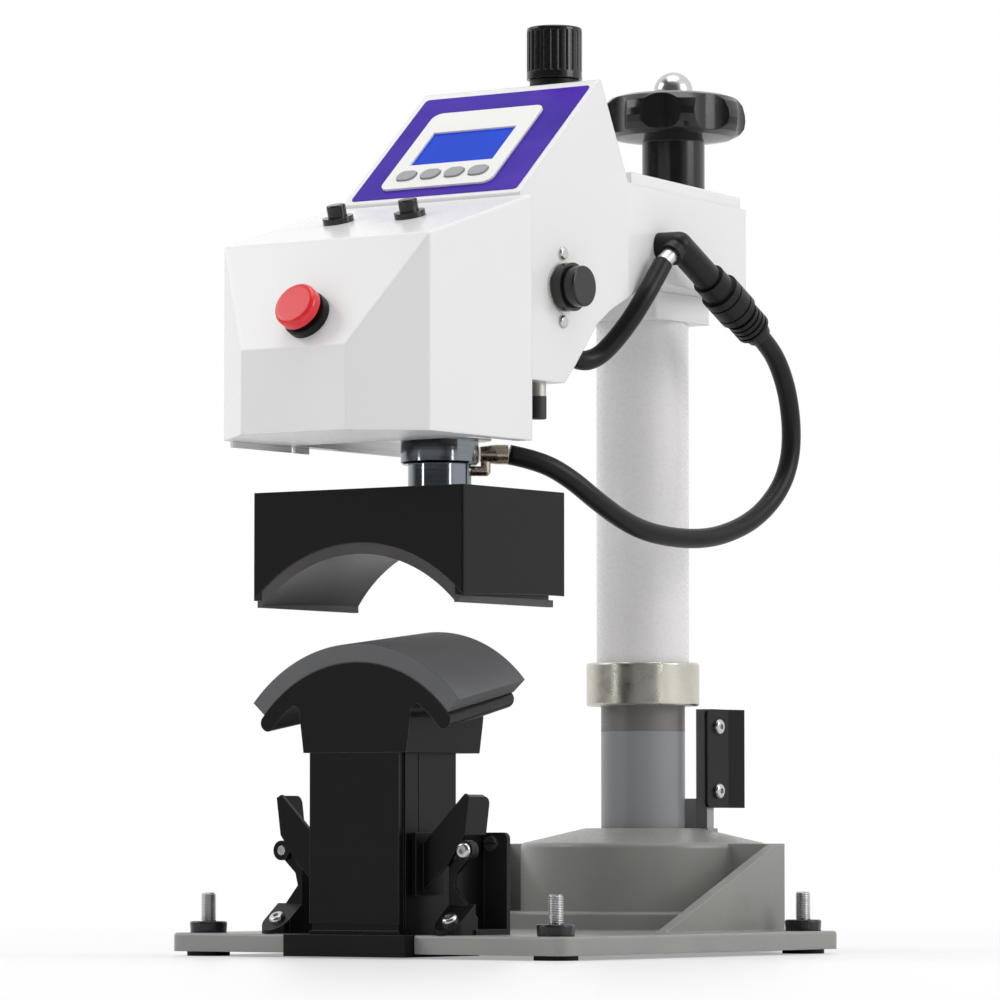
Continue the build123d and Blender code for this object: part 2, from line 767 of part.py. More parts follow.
def lever_bracket():
    """Right bracket: foot with a sloping lug, front ear, inner wall and rear ear."""
    foot_top = BASE_Z1 + TAB_T
    ear_y0 = LEVER_Y0 + LEVER_T + SLIDE_GAP
    foot = block(BRACKET_X0, REAR_EAR_X, ear_y0, REAR_EAR_Y + EAR_T, BASE_Z1, foot_top)
    lug_top = TAB_SCREW_Z + TAB_R
    lug = block(BRACKET_X0, TAB_X + TAB_R, TAB_Y, ear_y0 + 1, BASE_Z1, lug_top)
    lug += post(TAB_X, TAB_Y, BASE_Z1, lug_top, TAB_R)
    lug -= tab_plane() * Pos(0, 0, 2 * TAB_R) * Box(5 * TAB_R, 6 * TAB_R, 4 * TAB_R)
    front_ear = prism_xz(
        [
            (BRACKET_X0, foot_top - 1),
            (TAB_X + TAB_R, foot_top - 1),
            (TAB_X + TAB_R, 26.0),
            (BRACKET_X0 + EAR_T, 46.0),
            (BRACKET_X0 + EAR_T + 2, 54.0),
            (PIVOT_X + PIVOT_BOSS_R, PIVOT_Z),
            (PIVOT_X - PIVOT_BOSS_R, PIVOT_Z),
            (BRACKET_X0, 52.0),
        ],
        ear_y0,
        ear_y0 + EAR_T,
    )
    front_ear += pin(
        (PIVOT_X, ear_y0, PIVOT_Z), (PIVOT_X, ear_y0 + EAR_T, PIVOT_Z), PIVOT_BOSS_R
    )
    wall = block(
        BRACKET_X0, BRACKET_X0 + EAR_T, ear_y0, REAR_EAR_Y + 1, foot_top - 1, REAR_EAR_TOP
    )
    rear_ear = block(
        BRACKET_X0, REAR_EAR_X, REAR_EAR_Y, REAR_EAR_Y + EAR_T, BASE_Z1, REAR_EAR_TOP
    )
    corner = rear_ear.edges().filter_by(Axis.Y)
    corner = corner.sort_by(lambda e: e.center().X + e.center().Z)[-1]
    rear_ear = fillet(corner, 4.0)
    body = foot + lug + front_ear + wall + rear_ear - foot_screw_hole()
    body -= pin((PIVOT_X, 0, PIVOT_Z), (PIVOT_X, ear_y0 + EAR_T + 1, PIVOT_Z), PIVOT_R + SEAT)
    body -= pin((SLOT_X, 50, SLOT_Z), (SLOT_X, 70, SLOT_Z), PIVOT_R + SEAT)
    return body


def tab_plane():
    """Sloping top of the right bracket's lug, Z out of it, under the screw's head."""
    tilt = math.radians(TAB_SLOPE)
    normal = Vector(0, -math.sin(tilt), math.cos(tilt))
    return Plane(origin=(TAB_X, TAB_Y, TAB_SCREW_Z), x_dir=(1, 0, 0), z_dir=normal)


def foot_screw_hole():
    """Slanting hole through the right lug into the base plate."""
    return tab_plane() * Cylinder(PIVOT_R + SEAT, 2 * FOOT_SCREW_LEN + 2)


def foot_screw():
    """Right button-head screw through the bracket's lug into the base plate."""
    plane = tab_plane()
    axis = plane.z_dir
    return button_screw(
        (TAB_X, TAB_Y, TAB_SCREW_Z), (axis.X, axis.Y, axis.Z), FOOT_SCREW_LEN
    )


def slotted_screw():
    """Right slotted screw near the top of the rear ear."""
    head = pin((SLOT_X, REAR_EAR_Y - 3, SLOT_Z), (SLOT_X, REAR_EAR_Y, SLOT_Z), 4.8)
    head -= block(
        SLOT_X - 7, SLOT_X + 7, REAR_EAR_Y - 4, REAR_EAR_Y - 1.6, SLOT_Z - 0.7, SLOT_Z + 0.7
    )
    return head + pin(
        (SLOT_X, REAR_EAR_Y, SLOT_Z), (SLOT_X, REAR_EAR_Y + EAR_T + 2, SLOT_Z), PIVOT_R
    )


# ---------------------------------------------------------------- arm

def arm_side():
    """Side outline of the arm, panel wedge and rear box."""
    return [
        (ARM_Y0, ARM_FLOOR_Z),
        (134.2, ARM_FLOOR_Z),
        (147.5, 386.2),
        (172.0, 414.5),
        (189.7, 426.0),
        (240.0, ARM_BOTTOM_Z),
        (ARM_REAR_Y, ARM_BOTTOM_Z),
        (ARM_REAR_Y, ARM_TOP_Z),
        (ARM_TAPER_Y, ARM_TOP_Z),
        (PANEL_Y1, PANEL_Z1),
        (PANEL_Y0, PANEL_Z0),
        (PANEL_Y0, ARM_FRONT_Z + 8),
        (ARM_Y0, ARM_FRONT_Z),
    ]


def arm_plan():
    """Plan outline of the arm: straight, then drawn in towards the rear."""
    return [
        (-ARM_HALF_W, ARM_Y0),
        (ARM_HALF_W, ARM_Y0),
        (ARM_HALF_W, ARM_TAPER_Y),
        (ARM_REAR_HALF_W, ARM_REAR_Y),
        (-ARM_REAR_HALF_W, ARM_REAR_Y),
        (-ARM_HALF_W, ARM_TAPER_Y),
    ]


def panel_plane():
    """Plane on the panel: X across, Y up the slope, Z out of the panel."""
    slope = Vector(0, PANEL_Y1 - PANEL_Y0, PANEL_Z1 - PANEL_Z0).normalized()
    normal = Vector(0, -slope.Z, slope.Y)
    return Plane(origin=(0, PANEL_Y0, PANEL_Z0), x_dir=(1, 0, 0), z_dir=normal)


def arm_shell():
    """Hollow arm with its openings."""
    outer = prism_yz(arm_side(), -FAR, FAR) & prism_xy(arm_plan(), 0, FAR)
    seat = post(KNOB_X, KNOB_Y, ARM_TOP_Z - 2, KNOB_SEAT_Z, 19.0)
    inner = prism_yz(inset(arm_side(), ARM_WALL), -FAR, FAR)
    inner &= prism_xy(inset(arm_plan(), ARM_WALL), 0, FAR)
    shell = (outer + seat) - inner
    shell -= post(KNOB_X, KNOB_Y, ARM_TOP_Z - 20, KNOB_SEAT_Z + 1, 14.5)
    shell -= post(0, ROD_Y, ARM_FLOOR_Z - 1, ARM_FLOOR_Z + ARM_WALL + 1, CYL_R + 0.5)
    shell -= post(0, COL_Y, ARM_BOTTOM_Z - 1, ARM_BOTTOM_Z + ARM_WALL + 1, TUBE_R + RUN_FIT)
    shell -= post(0, WHEEL_Y, ARM_TOP_Z - ARM_WALL - 1, ARM_TOP_Z + 1, SCREW_R + RUN_FIT)
    window = panel_plane() * Pos(DISPLAY_X, DISPLAY_U, 0) * Box(BEZEL_W - 12, BEZEL_H - 12, 12)
    shell -= window
    shell -= side_hole(SIDE_Z, SIDE_BARREL_R + SLIDE_GAP)
    for dz in (-SIDE_SCREW_DZ, SIDE_SCREW_DZ):
        shell -= side_hole(SIDE_Z + dz, SIDE_SCREW_R + RUN_FIT)
    shell -= pin(SUPPLY_INSIDE, SUPPLY_OUTSIDE, LEAD_R + SEAT)
    shell -= post(SILENCER_X, SILENCER_Y, ARM_FLOOR_Z - 1, ARM_FLOOR_Z + ARM_WALL + 1, 4.0)
    return shell


def side_hole(z, radius):
    """Hole through the arm's right side at the side button's distance back."""
    return pin(
        (ARM_HALF_W - 2 * ARM_WALL, SIDE_Y, z), (ARM_HALF_W + ARM_WALL, SIDE_Y, z), radius
    )


def arm_top_plate():
    """Stepped plate on the rear box."""
    plan = inset(arm_plan(), TOP_PLATE_INSET)
    plate = prism_xy(plan, ARM_TOP_Z, ARM_TOP_Z + TOP_PLATE_T)
    plate -= block(-FAR, FAR, 0, KNOB_Y + 22, ARM_TOP_Z - 1, ARM_TOP_Z + 20)
    top = plate.faces().sort_by(Axis.Z)[-1]
    plate = fillet(top.outer_wire().edges(), 1.2)
    return plate - post(0, WHEEL_Y, ARM_TOP_Z - 1, ARM_TOP_Z + 20, SCREW_R + RUN_FIT)


def sleeve_block():
    """Square block under the rear box that slides on the white tube."""
    body = block(
        -BLOCK_HALF, BLOCK_HALF, COL_Y - BLOCK_HALF, COL_Y + BLOCK_HALF, BLOCK_Z0, ARM_BOTTOM_Z
    )
    body = fillet(body.edges().filter_by(Axis.Z), 2.0)
    return body - post(0, COL_Y, BLOCK_Z0 - 1, ARM_BOTTOM_Z + 1, TUBE_R + RUN_FIT)


def height_screw():
    """Screw that hangs from the handwheel."""
    return post(0, WHEEL_Y, SCREW_Z0, BALL_Z - 9, SCREW_R)


def screw_collar():
    """Collar that keeps the screw under the arm's top."""
    z1 = ARM_TOP_Z - ARM_WALL - SLIDE_GAP
    return tube(0, WHEEL_Y, z1 - 7, z1, 12, SCREW_R + SEAT)


def handwheel():
    """Lobed wheel on a tall hub, with a dished top."""
    hub_z0 = ARM_TOP_Z + TOP_PLATE_T + SLIDE_GAP
    hub = post(0, WHEEL_Y, hub_z0, WHEEL_Z0 + 8, HUB_R)
    hub = fillet(hub.faces().sort_by(Axis.Z)[0].edges(), 1.5)
    profile = [
        (0, WHEEL_Z0),
        (HUB_R, WHEEL_Z0),
        (WHEEL_R - 10, WHEEL_Z0 + 3),
        (WHEEL_R - 4, WHEEL_Z0 + 6),
        (WHEEL_R - 1, WHEEL_Z0 + 10),
        (WHEEL_R, WHEEL_Z0 + 15),
        (WHEEL_R - 0.4, WHEEL_Z1 - 12),
        (WHEEL_R - 2.2, WHEEL_Z1 - 6),
        (WHEEL_R - 6, WHEEL_Z1 - 2),
        (WHEEL_R - 12, WHEEL_Z1),
        (WHEEL_R - 22, WHEEL_Z1 - 5),
        (17, WHEEL_Z1 - 5),
        (15, WHEEL_Z1 - 7),
        (0, WHEEL_Z1 - 7),
    ]
    face = make_face(Polyline(*[(x, 0, z) for x, z in profile], close=True))
    rim = Pos(0, WHEEL_Y, 0) * revolve(face, axis=Axis.Z)
    for i in range(WHEEL_LOBES):
        angle = math.radians((i + 0.5) * 360 / WHEEL_LOBES)
        reach = WHEEL_R + SCOOP_R - SCOOP_DEPTH
        x = reach * math.cos(angle)
        y = WHEEL_Y + reach * math.sin(angle)
        rim -= post(x, y, WHEEL_Z0 - 5, WHEEL_Z1 + 5, SCOOP_R)
    return hub + rim - post(0, WHEEL_Y, hub_z0 - 1, WHEEL_Z1 + 10, SCREW_R + SEAT)


def ball_nut():
    """Bright domed nut on top of the wheel."""
    z0 = WHEEL_Z1 - 7
    ball = Pos(0, WHEEL_Y, BALL_Z) * Sphere(BALL_R)
    ball &= block(-20, 20, WHEEL_Y - 20, WHEEL_Y + 20, z0, BALL_Z + BALL_R)
    return ball - post(0, WHEEL_Y, z0 - 5, BALL_Z - 8, SCREW_R + SEAT)


# ---------------------------------------------------------------- head

def cover_plan():
    """Plan outline of the head cover with its chamfered nose."""
    return [
        (-COVER_HALF_W, COVER_Y2),
        (-COVER_HALF_W, COVER_Y1),
        (-COVER_NOSE_HALF_W, COVER_Y0),
        (COVER_NOSE_HALF_W, COVER_Y0),
        (COVER_HALF_W, COVER_Y1),
        (COVER_HALF_W, COVER_Y2),
    ]


def cover_side():
    """Side outline of the head cover: nose, leaning face and rising top."""
    return [
        (COVER_Y2, COVER_Z0),
        (COVER_Y0, COVER_Z0),
        (COVER_Y0, COVER_Z1),
        (COVER_Y1, COVER_Z2),
        (COVER_Y2, COVER_Z3),
    ]


def face_plane():
    """Plane on the leaning front face: X across, Y up the face, Z out of it."""
    slope = Vector(0, COVER_Y1 - COVER_Y0, COVER_Z2 - COVER_Z1).normalized()
    normal = Vector(0, -slope.Z, slope.Y)
    return Plane(origin=(0, COVER_Y0, COVER_Z1), x_dir=(1, 0, 0), z_dir=normal)


def top_plane():
    """Plane on the cover's top under the start buttons, Z out of it."""
    slope = Vector(0, COVER_Y2 - COVER_Y1, COVER_Z3 - COVER_Z2).normalized()
    normal = Vector(0, -slope.Z, slope.Y)
    rise = (START_Y - COVER_Y1) * slope.Z / slope.Y
    return Plane(origin=(0, START_Y, COVER_Z2 + rise), x_dir=(1, 0, 0), z_dir=normal)


def head_cover():
    """Faceted cover, open at the back, with a floor under its nose and a left skirt."""
    outer = prism_yz(cover_side(), -FAR, FAR) & prism_xy(cover_plan(), 0, FAR)
    outer = fillet(
        outer.edges().filter_by(lambda e: e.center().Y < COVER_Y2 - 1 and e.center().Z > COVER_Z0 + 1),
        COVER_EDGE_R,
    )
    far = COVER_Y2 + 20
    open_plan = [(x, far if y == COVER_Y2 else y) for x, y in cover_plan()]
    slope = (COVER_Z3 - COVER_Z2) / (COVER_Y2 - COVER_Y1)
    open_side = [
        (far, COVER_Z0 - 20),
        (COVER_Y0, COVER_Z0 - 20),
        (COVER_Y0, COVER_Z1),
        (COVER_Y1, COVER_Z2),
        (far, COVER_Z3 + slope * 20),
    ]
    inner = prism_yz(inset(open_side, COVER_WALL), -FAR, FAR)
    inner &= prism_xy(inset(open_plan, COVER_WALL), 0, FAR)
    flange_z1 = COVER_Z0 + COVER_WALL
    flange = prism_xy(inset(cover_plan(), COVER_WALL / 2), COVER_Z0, flange_z1)
    mouth = prism_xy(inset(open_plan, COVER_FLANGE), COVER_Z0 - 1, flange_z1 + 1)
    flange -= mouth & block(-FAR, FAR, COVER_FLOOR_Y, FAR, 0, FAR)
    cover = (outer - inner) + flange + cover_skirt()
    for y0, y1 in LIPS_Y:
        cover += block(
            -COVER_HALF_W + 1, -COVER_HALF_W + 1 + COVER_WALL, y0, y1,
            COVER_Z0 - LIP_DROP, flange_z1,
        )
    hole = face_plane() * Pos(STOP_BTN_X, STOP_BTN_W, 0) * Cylinder(STOP_BARREL_R + 0.2, 12)
    cover -= hole
    for s in (-1, 1):
        cover -= start_spot(s) * Cylinder(START_BARREL_R + 0.2, 12)
    return cover


def cover_skirt():
    """Low strip that carries the cover's left wall further back, with its lip."""
    side = [
        (COVER_Y2 - 1, COVER_Z0),
        (SKIRT_Y - SKIRT_CORNER, COVER_Z0),
        (SKIRT_Y, COVER_Z0 + SKIRT_CORNER),
        (SKIRT_Y, SKIRT_TOP),
        (COVER_Y2 - 1, SKIRT_TOP),
    ]
    wall = prism_yz(side, -COVER_HALF_W, -COVER_HALF_W + COVER_WALL)
    lip = block(
        -COVER_HALF_W, -COVER_HALF_W + SKIRT_LIP, COVER_Y2 - 1, SKIRT_Y - SKIRT_CORNER,
        COVER_Z0, COVER_Z0 + COVER_WALL,
    )
    return wall + lip


def start_spot(side):
    """Place of one start button on the cover's top."""
    return top_plane() * Pos(START_MID_X + side * START_X, 0, 0)


def cover_bosses():
    """Four bosses between the arm's sides and the cover's side walls."""
    x0 = ARM_HALF_W
    x1 = COVER_HALF_W - COVER_WALL
    solids = []
    for z in BOSS_Z:
        solids += both_sides(pin((x0, BOSS_Y, z), (x1, BOSS_Y, z), BOSS_R))
    return solids


def start_rings():
    """Collars of the two start buttons."""
    solids = []
    for s in (-1, 1):
        spot = start_spot(s)
        flange = spot * Pos(0, 0, 2.0) * Cylinder(START_RING_R, 4.0)
        barrel = spot * Pos(0, 0, -9.0) * Cylinder(START_BARREL_R, 18.0)
        bore = spot * Pos(0, 0, -6.0) * Cylinder(START_CAP_R + RUN_FIT, 24.0)
        solids.append(flange + barrel - bore)
    return solids


def start_cap(side):
    """One start button's cap and stem."""
    cap = start_spot(side) * Pos(0, 0, -0.5) * Cylinder(START_CAP_R, 25.0)
    top = cap.faces().sort_by(Axis.Z)[-1]
    return fillet(top.edges(), 1.2)


def stop_collar():
    """Black collar and barrel of the red button."""
    spot = face_plane() * Pos(STOP_BTN_X, STOP_BTN_W, 0)
    ring = spot * Pos(0, 0, STOP_COLLAR_H / 2) * Cylinder(STOP_COLLAR_R, STOP_COLLAR_H)
    ring = chamfer(ring.faces().sort_by(Axis.Y)[0].edges(), 1.0)
    barrel = spot * Pos(0, 0, -7.0) * Cylinder(STOP_BARREL_R, 14.0)
    bore = spot * Cylinder(STOP_STEM_R + RUN_FIT, 60.0)
    return ring + barrel - bore


def stop_cap():
    """Red mushroom cap with its stem."""
    spot = face_plane() * Pos(STOP_BTN_X, STOP_BTN_W, 0)
    foot = STOP_COLLAR_H + STOP_BTN_GAP
    cap = spot * Pos(0, 0, foot + STOP_BTN_H / 2) * Cylinder(STOP_BTN_R, STOP_BTN_H)
    cap = fillet(cap.faces().sort_by(Axis.Y)[0].edges(), 3.0)
    tail = 9.0
    stem = spot * Pos(0, 0, (foot - tail) / 2) * Cylinder(STOP_STEM_R, foot + tail)
    return cap + stem


def contact_block():
    """Switch block on the end of the red button's barrel."""
    spot = face_plane() * Pos(STOP_BTN_X, STOP_BTN_W, 0)
    return spot * Pos(0, 0, -29.0) * Box(26, 34, 30)


# ---------------------------------------------------------------- control panel

def panel_overlay():
    """Coloured sheet on the panel, open under the display bezel."""
    sheet = Pos(0, 61.0) * RectangleRounded(2 * ARM_HALF_W - 9, 115.0, 3.0)
    sheet -= Pos(DISPLAY_X, DISPLAY_U) * Rectangle(BEZEL_W - 12, BEZEL_H - 12)
    return panel_plane() * extrude(sheet, amount=OVERLAY_T)


def key_positions():
    """Places of the four keys, across the panel."""
    return [DISPLAY_X + (i - 1.5) * KEY_PITCH for i in range(4)]


def display_bezel():
    """White frame round the display and the keys."""
    face = Pos(DISPLAY_X, DISPLAY_U) * RectangleRounded(BEZEL_W, BEZEL_H, 7.0)
    face -= Pos(DISPLAY_X, LCD_U) * Rectangle(LCD_W + 0.2, LCD_H + 0.2)
    for x in key_positions():
        hole = SlotOverall(KEY_W + 1.0, KEY_H + 1.0)
        face -= Pos(x, KEY_U) * hole
    bezel = panel_plane() * Pos(0, 0, OVERLAY_T) * extrude(face, amount=BEZEL_T)
    return bezel


def display_glass():
    """Display module in the bezel's window, a little below its face."""
    return panel_plane() * Pos(DISPLAY_X, LCD_U, -2.6) * Box(LCD_W, LCD_H, 6.8)


def key_cap(x):
    """One oval key with a stem that stays clear of the board."""
    face = Pos(x, KEY_U) * SlotOverall(KEY_W, KEY_H)
    return panel_plane() * Pos(0, 0, -4.5) * extrude(face, amount=7.7)


def controller_board():
    """Circuit board behind the panel."""
    return panel_plane() * Pos(DISPLAY_X, DISPLAY_U, -7.0) * Box(BEZEL_W, BEZEL_H - 2, 2.0)


def board_standoffs():
    """Stand-offs between the panel and the board."""
    solids = []
    for sx in (-1, 1):
        for sy in (-1, 1):
            spot = Pos(DISPLAY_X + sx * (BEZEL_W / 2 - 3), DISPLAY_U + sy * (BEZEL_H / 2 - 3), -4.5)
            solids.append(panel_plane() * spot * Cylinder(2.5, 3.0))
    return solids


def regulator_body():
    """Collar and body of the air regulator, seated on the arm."""
    collar = post(KNOB_X, KNOB_Y, KNOB_SEAT_Z, KNOB_Z0 - SLIDE_GAP, 16.6)
    body = post(KNOB_X, KNOB_Y, 530.0, KNOB_SEAT_Z, 14.2)
    return collar + body - post(KNOB_X, KNOB_Y, 560, KNOB_Z0 + 1, 8.0 + RUN_FIT)


def regulator_knob():
    """Ribbed knob with its stem."""
    grip = post(KNOB_X, KNOB_Y, KNOB_Z0, KNOB_Z0 + KNOB_H, KNOB_R)
    grip = fillet(grip.faces().sort_by(Axis.Z)[-1].edges(), 1.5)
    for i in range(KNOB_RIBS):
        angle = math.radians(i * 360 / KNOB_RIBS)
        x = KNOB_X + (KNOB_R + 0.5) * math.cos(angle)
        y = KNOB_Y + (KNOB_R + 0.5) * math.sin(angle)
        grip -= post(x, y, KNOB_Z0 + 5, KNOB_Z0 + KNOB_H - 3, 1.3)
    return grip + post(KNOB_X, KNOB_Y, 562, KNOB_Z0, 8.0)


# ---------------------------------------------------------------- side button

def side_bar(x0, x1, radius):
    """Round bar on the side button's axis."""
    return pin((x0, SIDE_Y, SIDE_Z), (x1, SIDE_Y, SIDE_Z), radius)


def side_flange():
    """Bright ring round the side button."""
    x0 = ARM_HALF_W
    ring = side_bar(x0, x0 + SIDE_RING_T, SIDE_RING_R)
    return ring - side_bar(x0 - 1, x0 + SIDE_RING_T + 1, SIDE_BARREL_R + 0.1)


def side_collar():
    """Black cup of the side button, with its barrel in the arm's side."""
    x0 = ARM_HALF_W
    face = x0 + SIDE_RING_T
    cup = side_bar(face, x0 + SIDE_COLLAR_H, SIDE_COLLAR_R)
    cup -= side_bar(face + 1.5, x0 + SIDE_COLLAR_H + 1, SIDE_CAP_R + 0.25)
    barrel = side_bar(x0 - 16, face, SIDE_BARREL_R)
    return cup + barrel - side_bar(x0 - 20, face + 3, SIDE_STEM_R + RUN_FIT)


def side_cap():
    """Black cap of the side button with its stem."""
    x0 = ARM_HALF_W
    cap = side_bar(x0 + SIDE_CAP_FOOT, x0 + SIDE_CAP_TOP, SIDE_CAP_R)
    cap = fillet(cap.faces().sort_by(Axis.X)[-1].edges(), 1.5)
    return cap + side_bar(x0 - 12, x0 + SIDE_CAP_FOOT, SIDE_STEM_R)


def side_screws():
    """Two oval-head screws above and below the side button."""
    x0 = ARM_HALF_W
    solids = []
    for dz in (-SIDE_SCREW_DZ, SIDE_SCREW_DZ):
        z = SIDE_Z + dz
        head = pin((x0, SIDE_Y, z), (x0 + 2.4, SIDE_Y, z), 4.4)
        head = fillet(head.faces().sort_by(Axis.X)[-1].edges(), 1.8)
        solids.append(head + pin((x0 - 8, SIDE_Y, z), (x0, SIDE_Y, z), SIDE_SCREW_R))
    return solids


def silencer():
    """Nipple of the silencer, screwed through the arm's floor."""
    floor_top = ARM_FLOOR_Z + ARM_WALL
    nipple = post(SILENCER_X, SILENCER_Y, SILENCER_Z1, floor_top, 3.9)
    return nipple + post(SILENCER_X, SILENCER_Y, SILENCER_Z1, ARM_FLOOR_Z, 5.5)


def silencer_body():
    """Black sintered body of the silencer."""
    body = post(SILENCER_X, SILENCER_Y, SILENCER_Z0, SILENCER_Z1, 5.8)
    return fillet(body.faces().sort_by(Axis.Z)[0].edges(), 1.0)


# ---------------------------------------------------------------- air cylinder and platen

def cylinder_plate():
    """Plate on the arm's floor that carries the cylinder."""
    plate = block(-62, 62, 52, 131, ARM_FLOOR_Z + ARM_WALL, ARM_FLOOR_Z + ARM_WALL + 10)
    return plate - post(0, ROD_Y, ARM_FLOOR_Z, ARM_FLOOR_Z + 30, CYL_R + SEAT)


def cylinder_barrel():
    """Barrel with both ends closed but for the rod's hole."""
    body = post(0, ROD_Y, CYL_Z0, CYL_Z1, CYL_R)
    body -= post(0, ROD_Y, CYL_Z0 + CYL_END_T, CYL_Z1 - CYL_END_T, CYL_BORE_R)
    return body - post(0, ROD_Y, CYL_Z0 - 1, CYL_Z0 + CYL_END_T + 1, ROD_R + RUN_FIT)


def rod_gland():
    """Dark gland the rod comes out of."""
    gland = post(0, ROD_Y, GLAND_Z0, CYL_Z0, GLAND_R)
    gland = chamfer(gland.faces().sort_by(Axis.Z)[0].edges(), 1.5)
    return gland - post(0, ROD_Y, GLAND_Z0 - 1, CYL_Z0 + 1, ROD_R + RUN_FIT)


def press_rod():
    """Thick rod between the platen and the piston."""
    return post(0, ROD_Y, PLATEN_Z1, ROD_TOP, ROD_R)


def piston():
    """Piston on the rod's top."""
    return post(0, ROD_Y, ROD_TOP, ROD_TOP + PISTON_H, CYL_BORE_R - RUN_FIT)


def platen_body():
    """Black platen block, arched underneath to hold the heater shoe."""
    body = block(
        -PLATEN_HALF_W, PLATEN_HALF_W, PLATEN_Y0, PLATEN_Y1, PLATEN_Z0, PLATEN_Z1
    )
    body = fillet(body.edges().filter_by(Axis.Z), 1.5)
    thick = 60.0
    arch = arch_band(PLATEN_Y0 - 5, PLATEN_Y1 + 5, SHOE_T + SEAT, thick, SHOE_RISE, 70)
    return body - arch


def heater_shoe():
    """Arched heater shoe with a lip along each side under the platen."""
    band = arch_band(PLATEN_Y0 + 0.5, SHOE_Y1, SHOE_T, SHOE_T, SHOE_RISE, 70)
    shoe = band & block(-SHOE_HALF_W, SHOE_HALF_W, 0, 130, SHOE_Z0, PLATEN_Z1)
    lip = block(
        SHOE_HALF_W - 0.5, SHOE_LIP_X, PLATEN_Y0 + 0.5, SHOE_Y1, SHOE_LIP_Z, PLATEN_Z0 - SEAT
    )
    return shoe + lip + mirrored(lip)


# ---------------------------------------------------------------- leads

def along(p0, p1):
    """Unit vector from one point to another."""
    return (Vector(*p1) - Vector(*p0)).normalized()


def bar_along(point, axis, start, end, radius, end_radius=None):
    """Round bar on an axis through a point, between two distances along it."""
    p0 = Vector(*point) + axis * start
    p1 = Vector(*point) + axis * end
    return pin(tuple(p0), tuple(p1), radius, end_radius)


def lead_fitting():
    """Bright fitting beside the rod, level, on a lug that comes out under the gland."""
    end = Vector(*HEATER_LEAD[0])
    level = Vector(0, ROD_Y, end.Z)
    out = (end - level).normalized()
    reach = (end - level).length
    stem_reach = GLAND_R + FITTING_STEM_GAP
    low = Vector(0, ROD_Y, FITTING_BOSS_Z)
    foot = low + out * stem_reach
    boss = bar_along(tuple(low), out, ROD_R + SEAT, stem_reach, FITTING_BOSS_R)
    boss += Pos(*foot) * Sphere(FITTING_BOSS_R)
    stem = post(foot.X, foot.Y, foot.Z, end.Z, FITTING_BOSS_R)
    neck = bar_along(tuple(end), out, GLAND_R + 1 - reach, -9.0, FITTING_BODY_R - 1.5, FITTING_BODY_R)
    tilt = out.get_angle(along(HEATER_LEAD[0], HEATER_LEAD[1]))
    face = LEAD_R * math.sin(math.radians(tilt)) + RUN_FIT
    tail = bar_along(tuple(end), out, -9.0, -face, FITTING_BODY_R)
    return boss + stem + neck + tail


def lead(points):
    """Round lead along a path of straight runs joined by arcs."""
    spots = [Vector(*p) for p in points]
    radii = []
    for before, here, after in zip(spots, spots[1:], spots[2:]):
        turn = (here - before).get_angle(after - here)
        run = min((here - before).length, (after - here).length)
        radii.append(0.45 * run / math.tan(math.radians(turn / 2)))
    path = FilletPolyline(*points, radius=radii)
    start = Plane(origin=path @ 0, z_dir=path % 0)
    print("lead", round(path.length, 1), "mm, smallest bend", round(min(radii), 1), "mm")
    return sweep(start * Circle(LEAD_R), path=path)


def plug_axis():
    """Direction from the heater lead's end towards the elbow."""
    return along(HEATER_LEAD[-2], HEATER_LEAD[-1])


def elbow_centre():
    """Corner of the elbow sleeve, on the plug's axis."""
    return Vector(*HEATER_LEAD[-1]) + plug_axis() * ELBOW_REACH


def inline_plug():
    """Black plug: stepped tail, ribbed boot and two wider rings."""
    end = HEATER_LEAD[-1]
    axis = plug_axis()
    tail = bar_along(end, axis, 0, 8, 8.6, 10.2)
    boot = bar_along(end, axis, 8, 24, PLUG_R - 1.6)
    neck = bar_along(end, axis, 24, 28, PLUG_R - 3.2)
    body = bar_along(end, axis, 28, 52, PLUG_R)
    head = bar_along(end, axis, 52, PLUG_LEN, PLUG_R - 2.2)
    for start in (10.5, 15.0, 19.5):
        ring = bar_along(end, axis, start, start + 1.6, PLUG_R + 1)
        boot -= ring - bar_along(end, axis, start - 1, start + 3, PLUG_R - 3.0)
    for start in (33.0, 45.0):
        ring = bar_along(end, axis, start, start + 1.4, PLUG_R + 1)
        body -= ring - bar_along(end, axis, start - 1, start + 3, PLUG_R - 1.2)
    return tail + boot + neck + body + head


def elbow_sleeve():
    """Black elbow between the arm's side, the plug and the steel tube."""
    axis = plug_axis()
    centre = elbow_centre()
    side = Vector(math.cos(arm_taper()), math.sin(arm_taper()), 0)
    wall_point = Vector(ARM_HALF_W, ARM_TAPER_Y, 0)
    reach = (centre - wall_point).dot(side)
    run = bar_along(tuple(centre), axis, PLUG_LEN - ELBOW_REACH, 0, SLEEVE_R)
    stub = bar_along(tuple(centre), side, -reach, 0, SLEEVE_R)
    socket = bar_along(tuple(centre), steel_axis(), -SOCKET_LEN, 0, SLEEVE_R - 1.6)
    return run + stub + socket + Pos(*centre) * Sphere(SLEEVE_R)


def arm_taper():
    """Angle by which the rear box's sides draw in."""
    return math.atan((ARM_HALF_W - ARM_REAR_HALF_W) / (ARM_REAR_Y - ARM_TAPER_Y))


def steel_axis():
    """Direction of the bare steel tube, from the supply lead to the elbow."""
    return (elbow_centre() - Vector(*SUPPLY_END)).normalized()


def steel_tube():
    """Bare steel tube between the supply lead and the elbow."""
    length = (elbow_centre() - Vector(*SUPPLY_END)).length - SOCKET_LEN
    return bar_along(SUPPLY_END, steel_axis(), 0, length, STEEL_TUBE_R)


def supply_lead():
    """Supply lead out of the arm's sloping underside, round to the steel tube."""
    before = Vector(*SUPPLY_END) - steel_axis() * SUPPLY_RUN
    return lead([*SUPPLY_LEAD, tuple(before), SUPPLY_END])


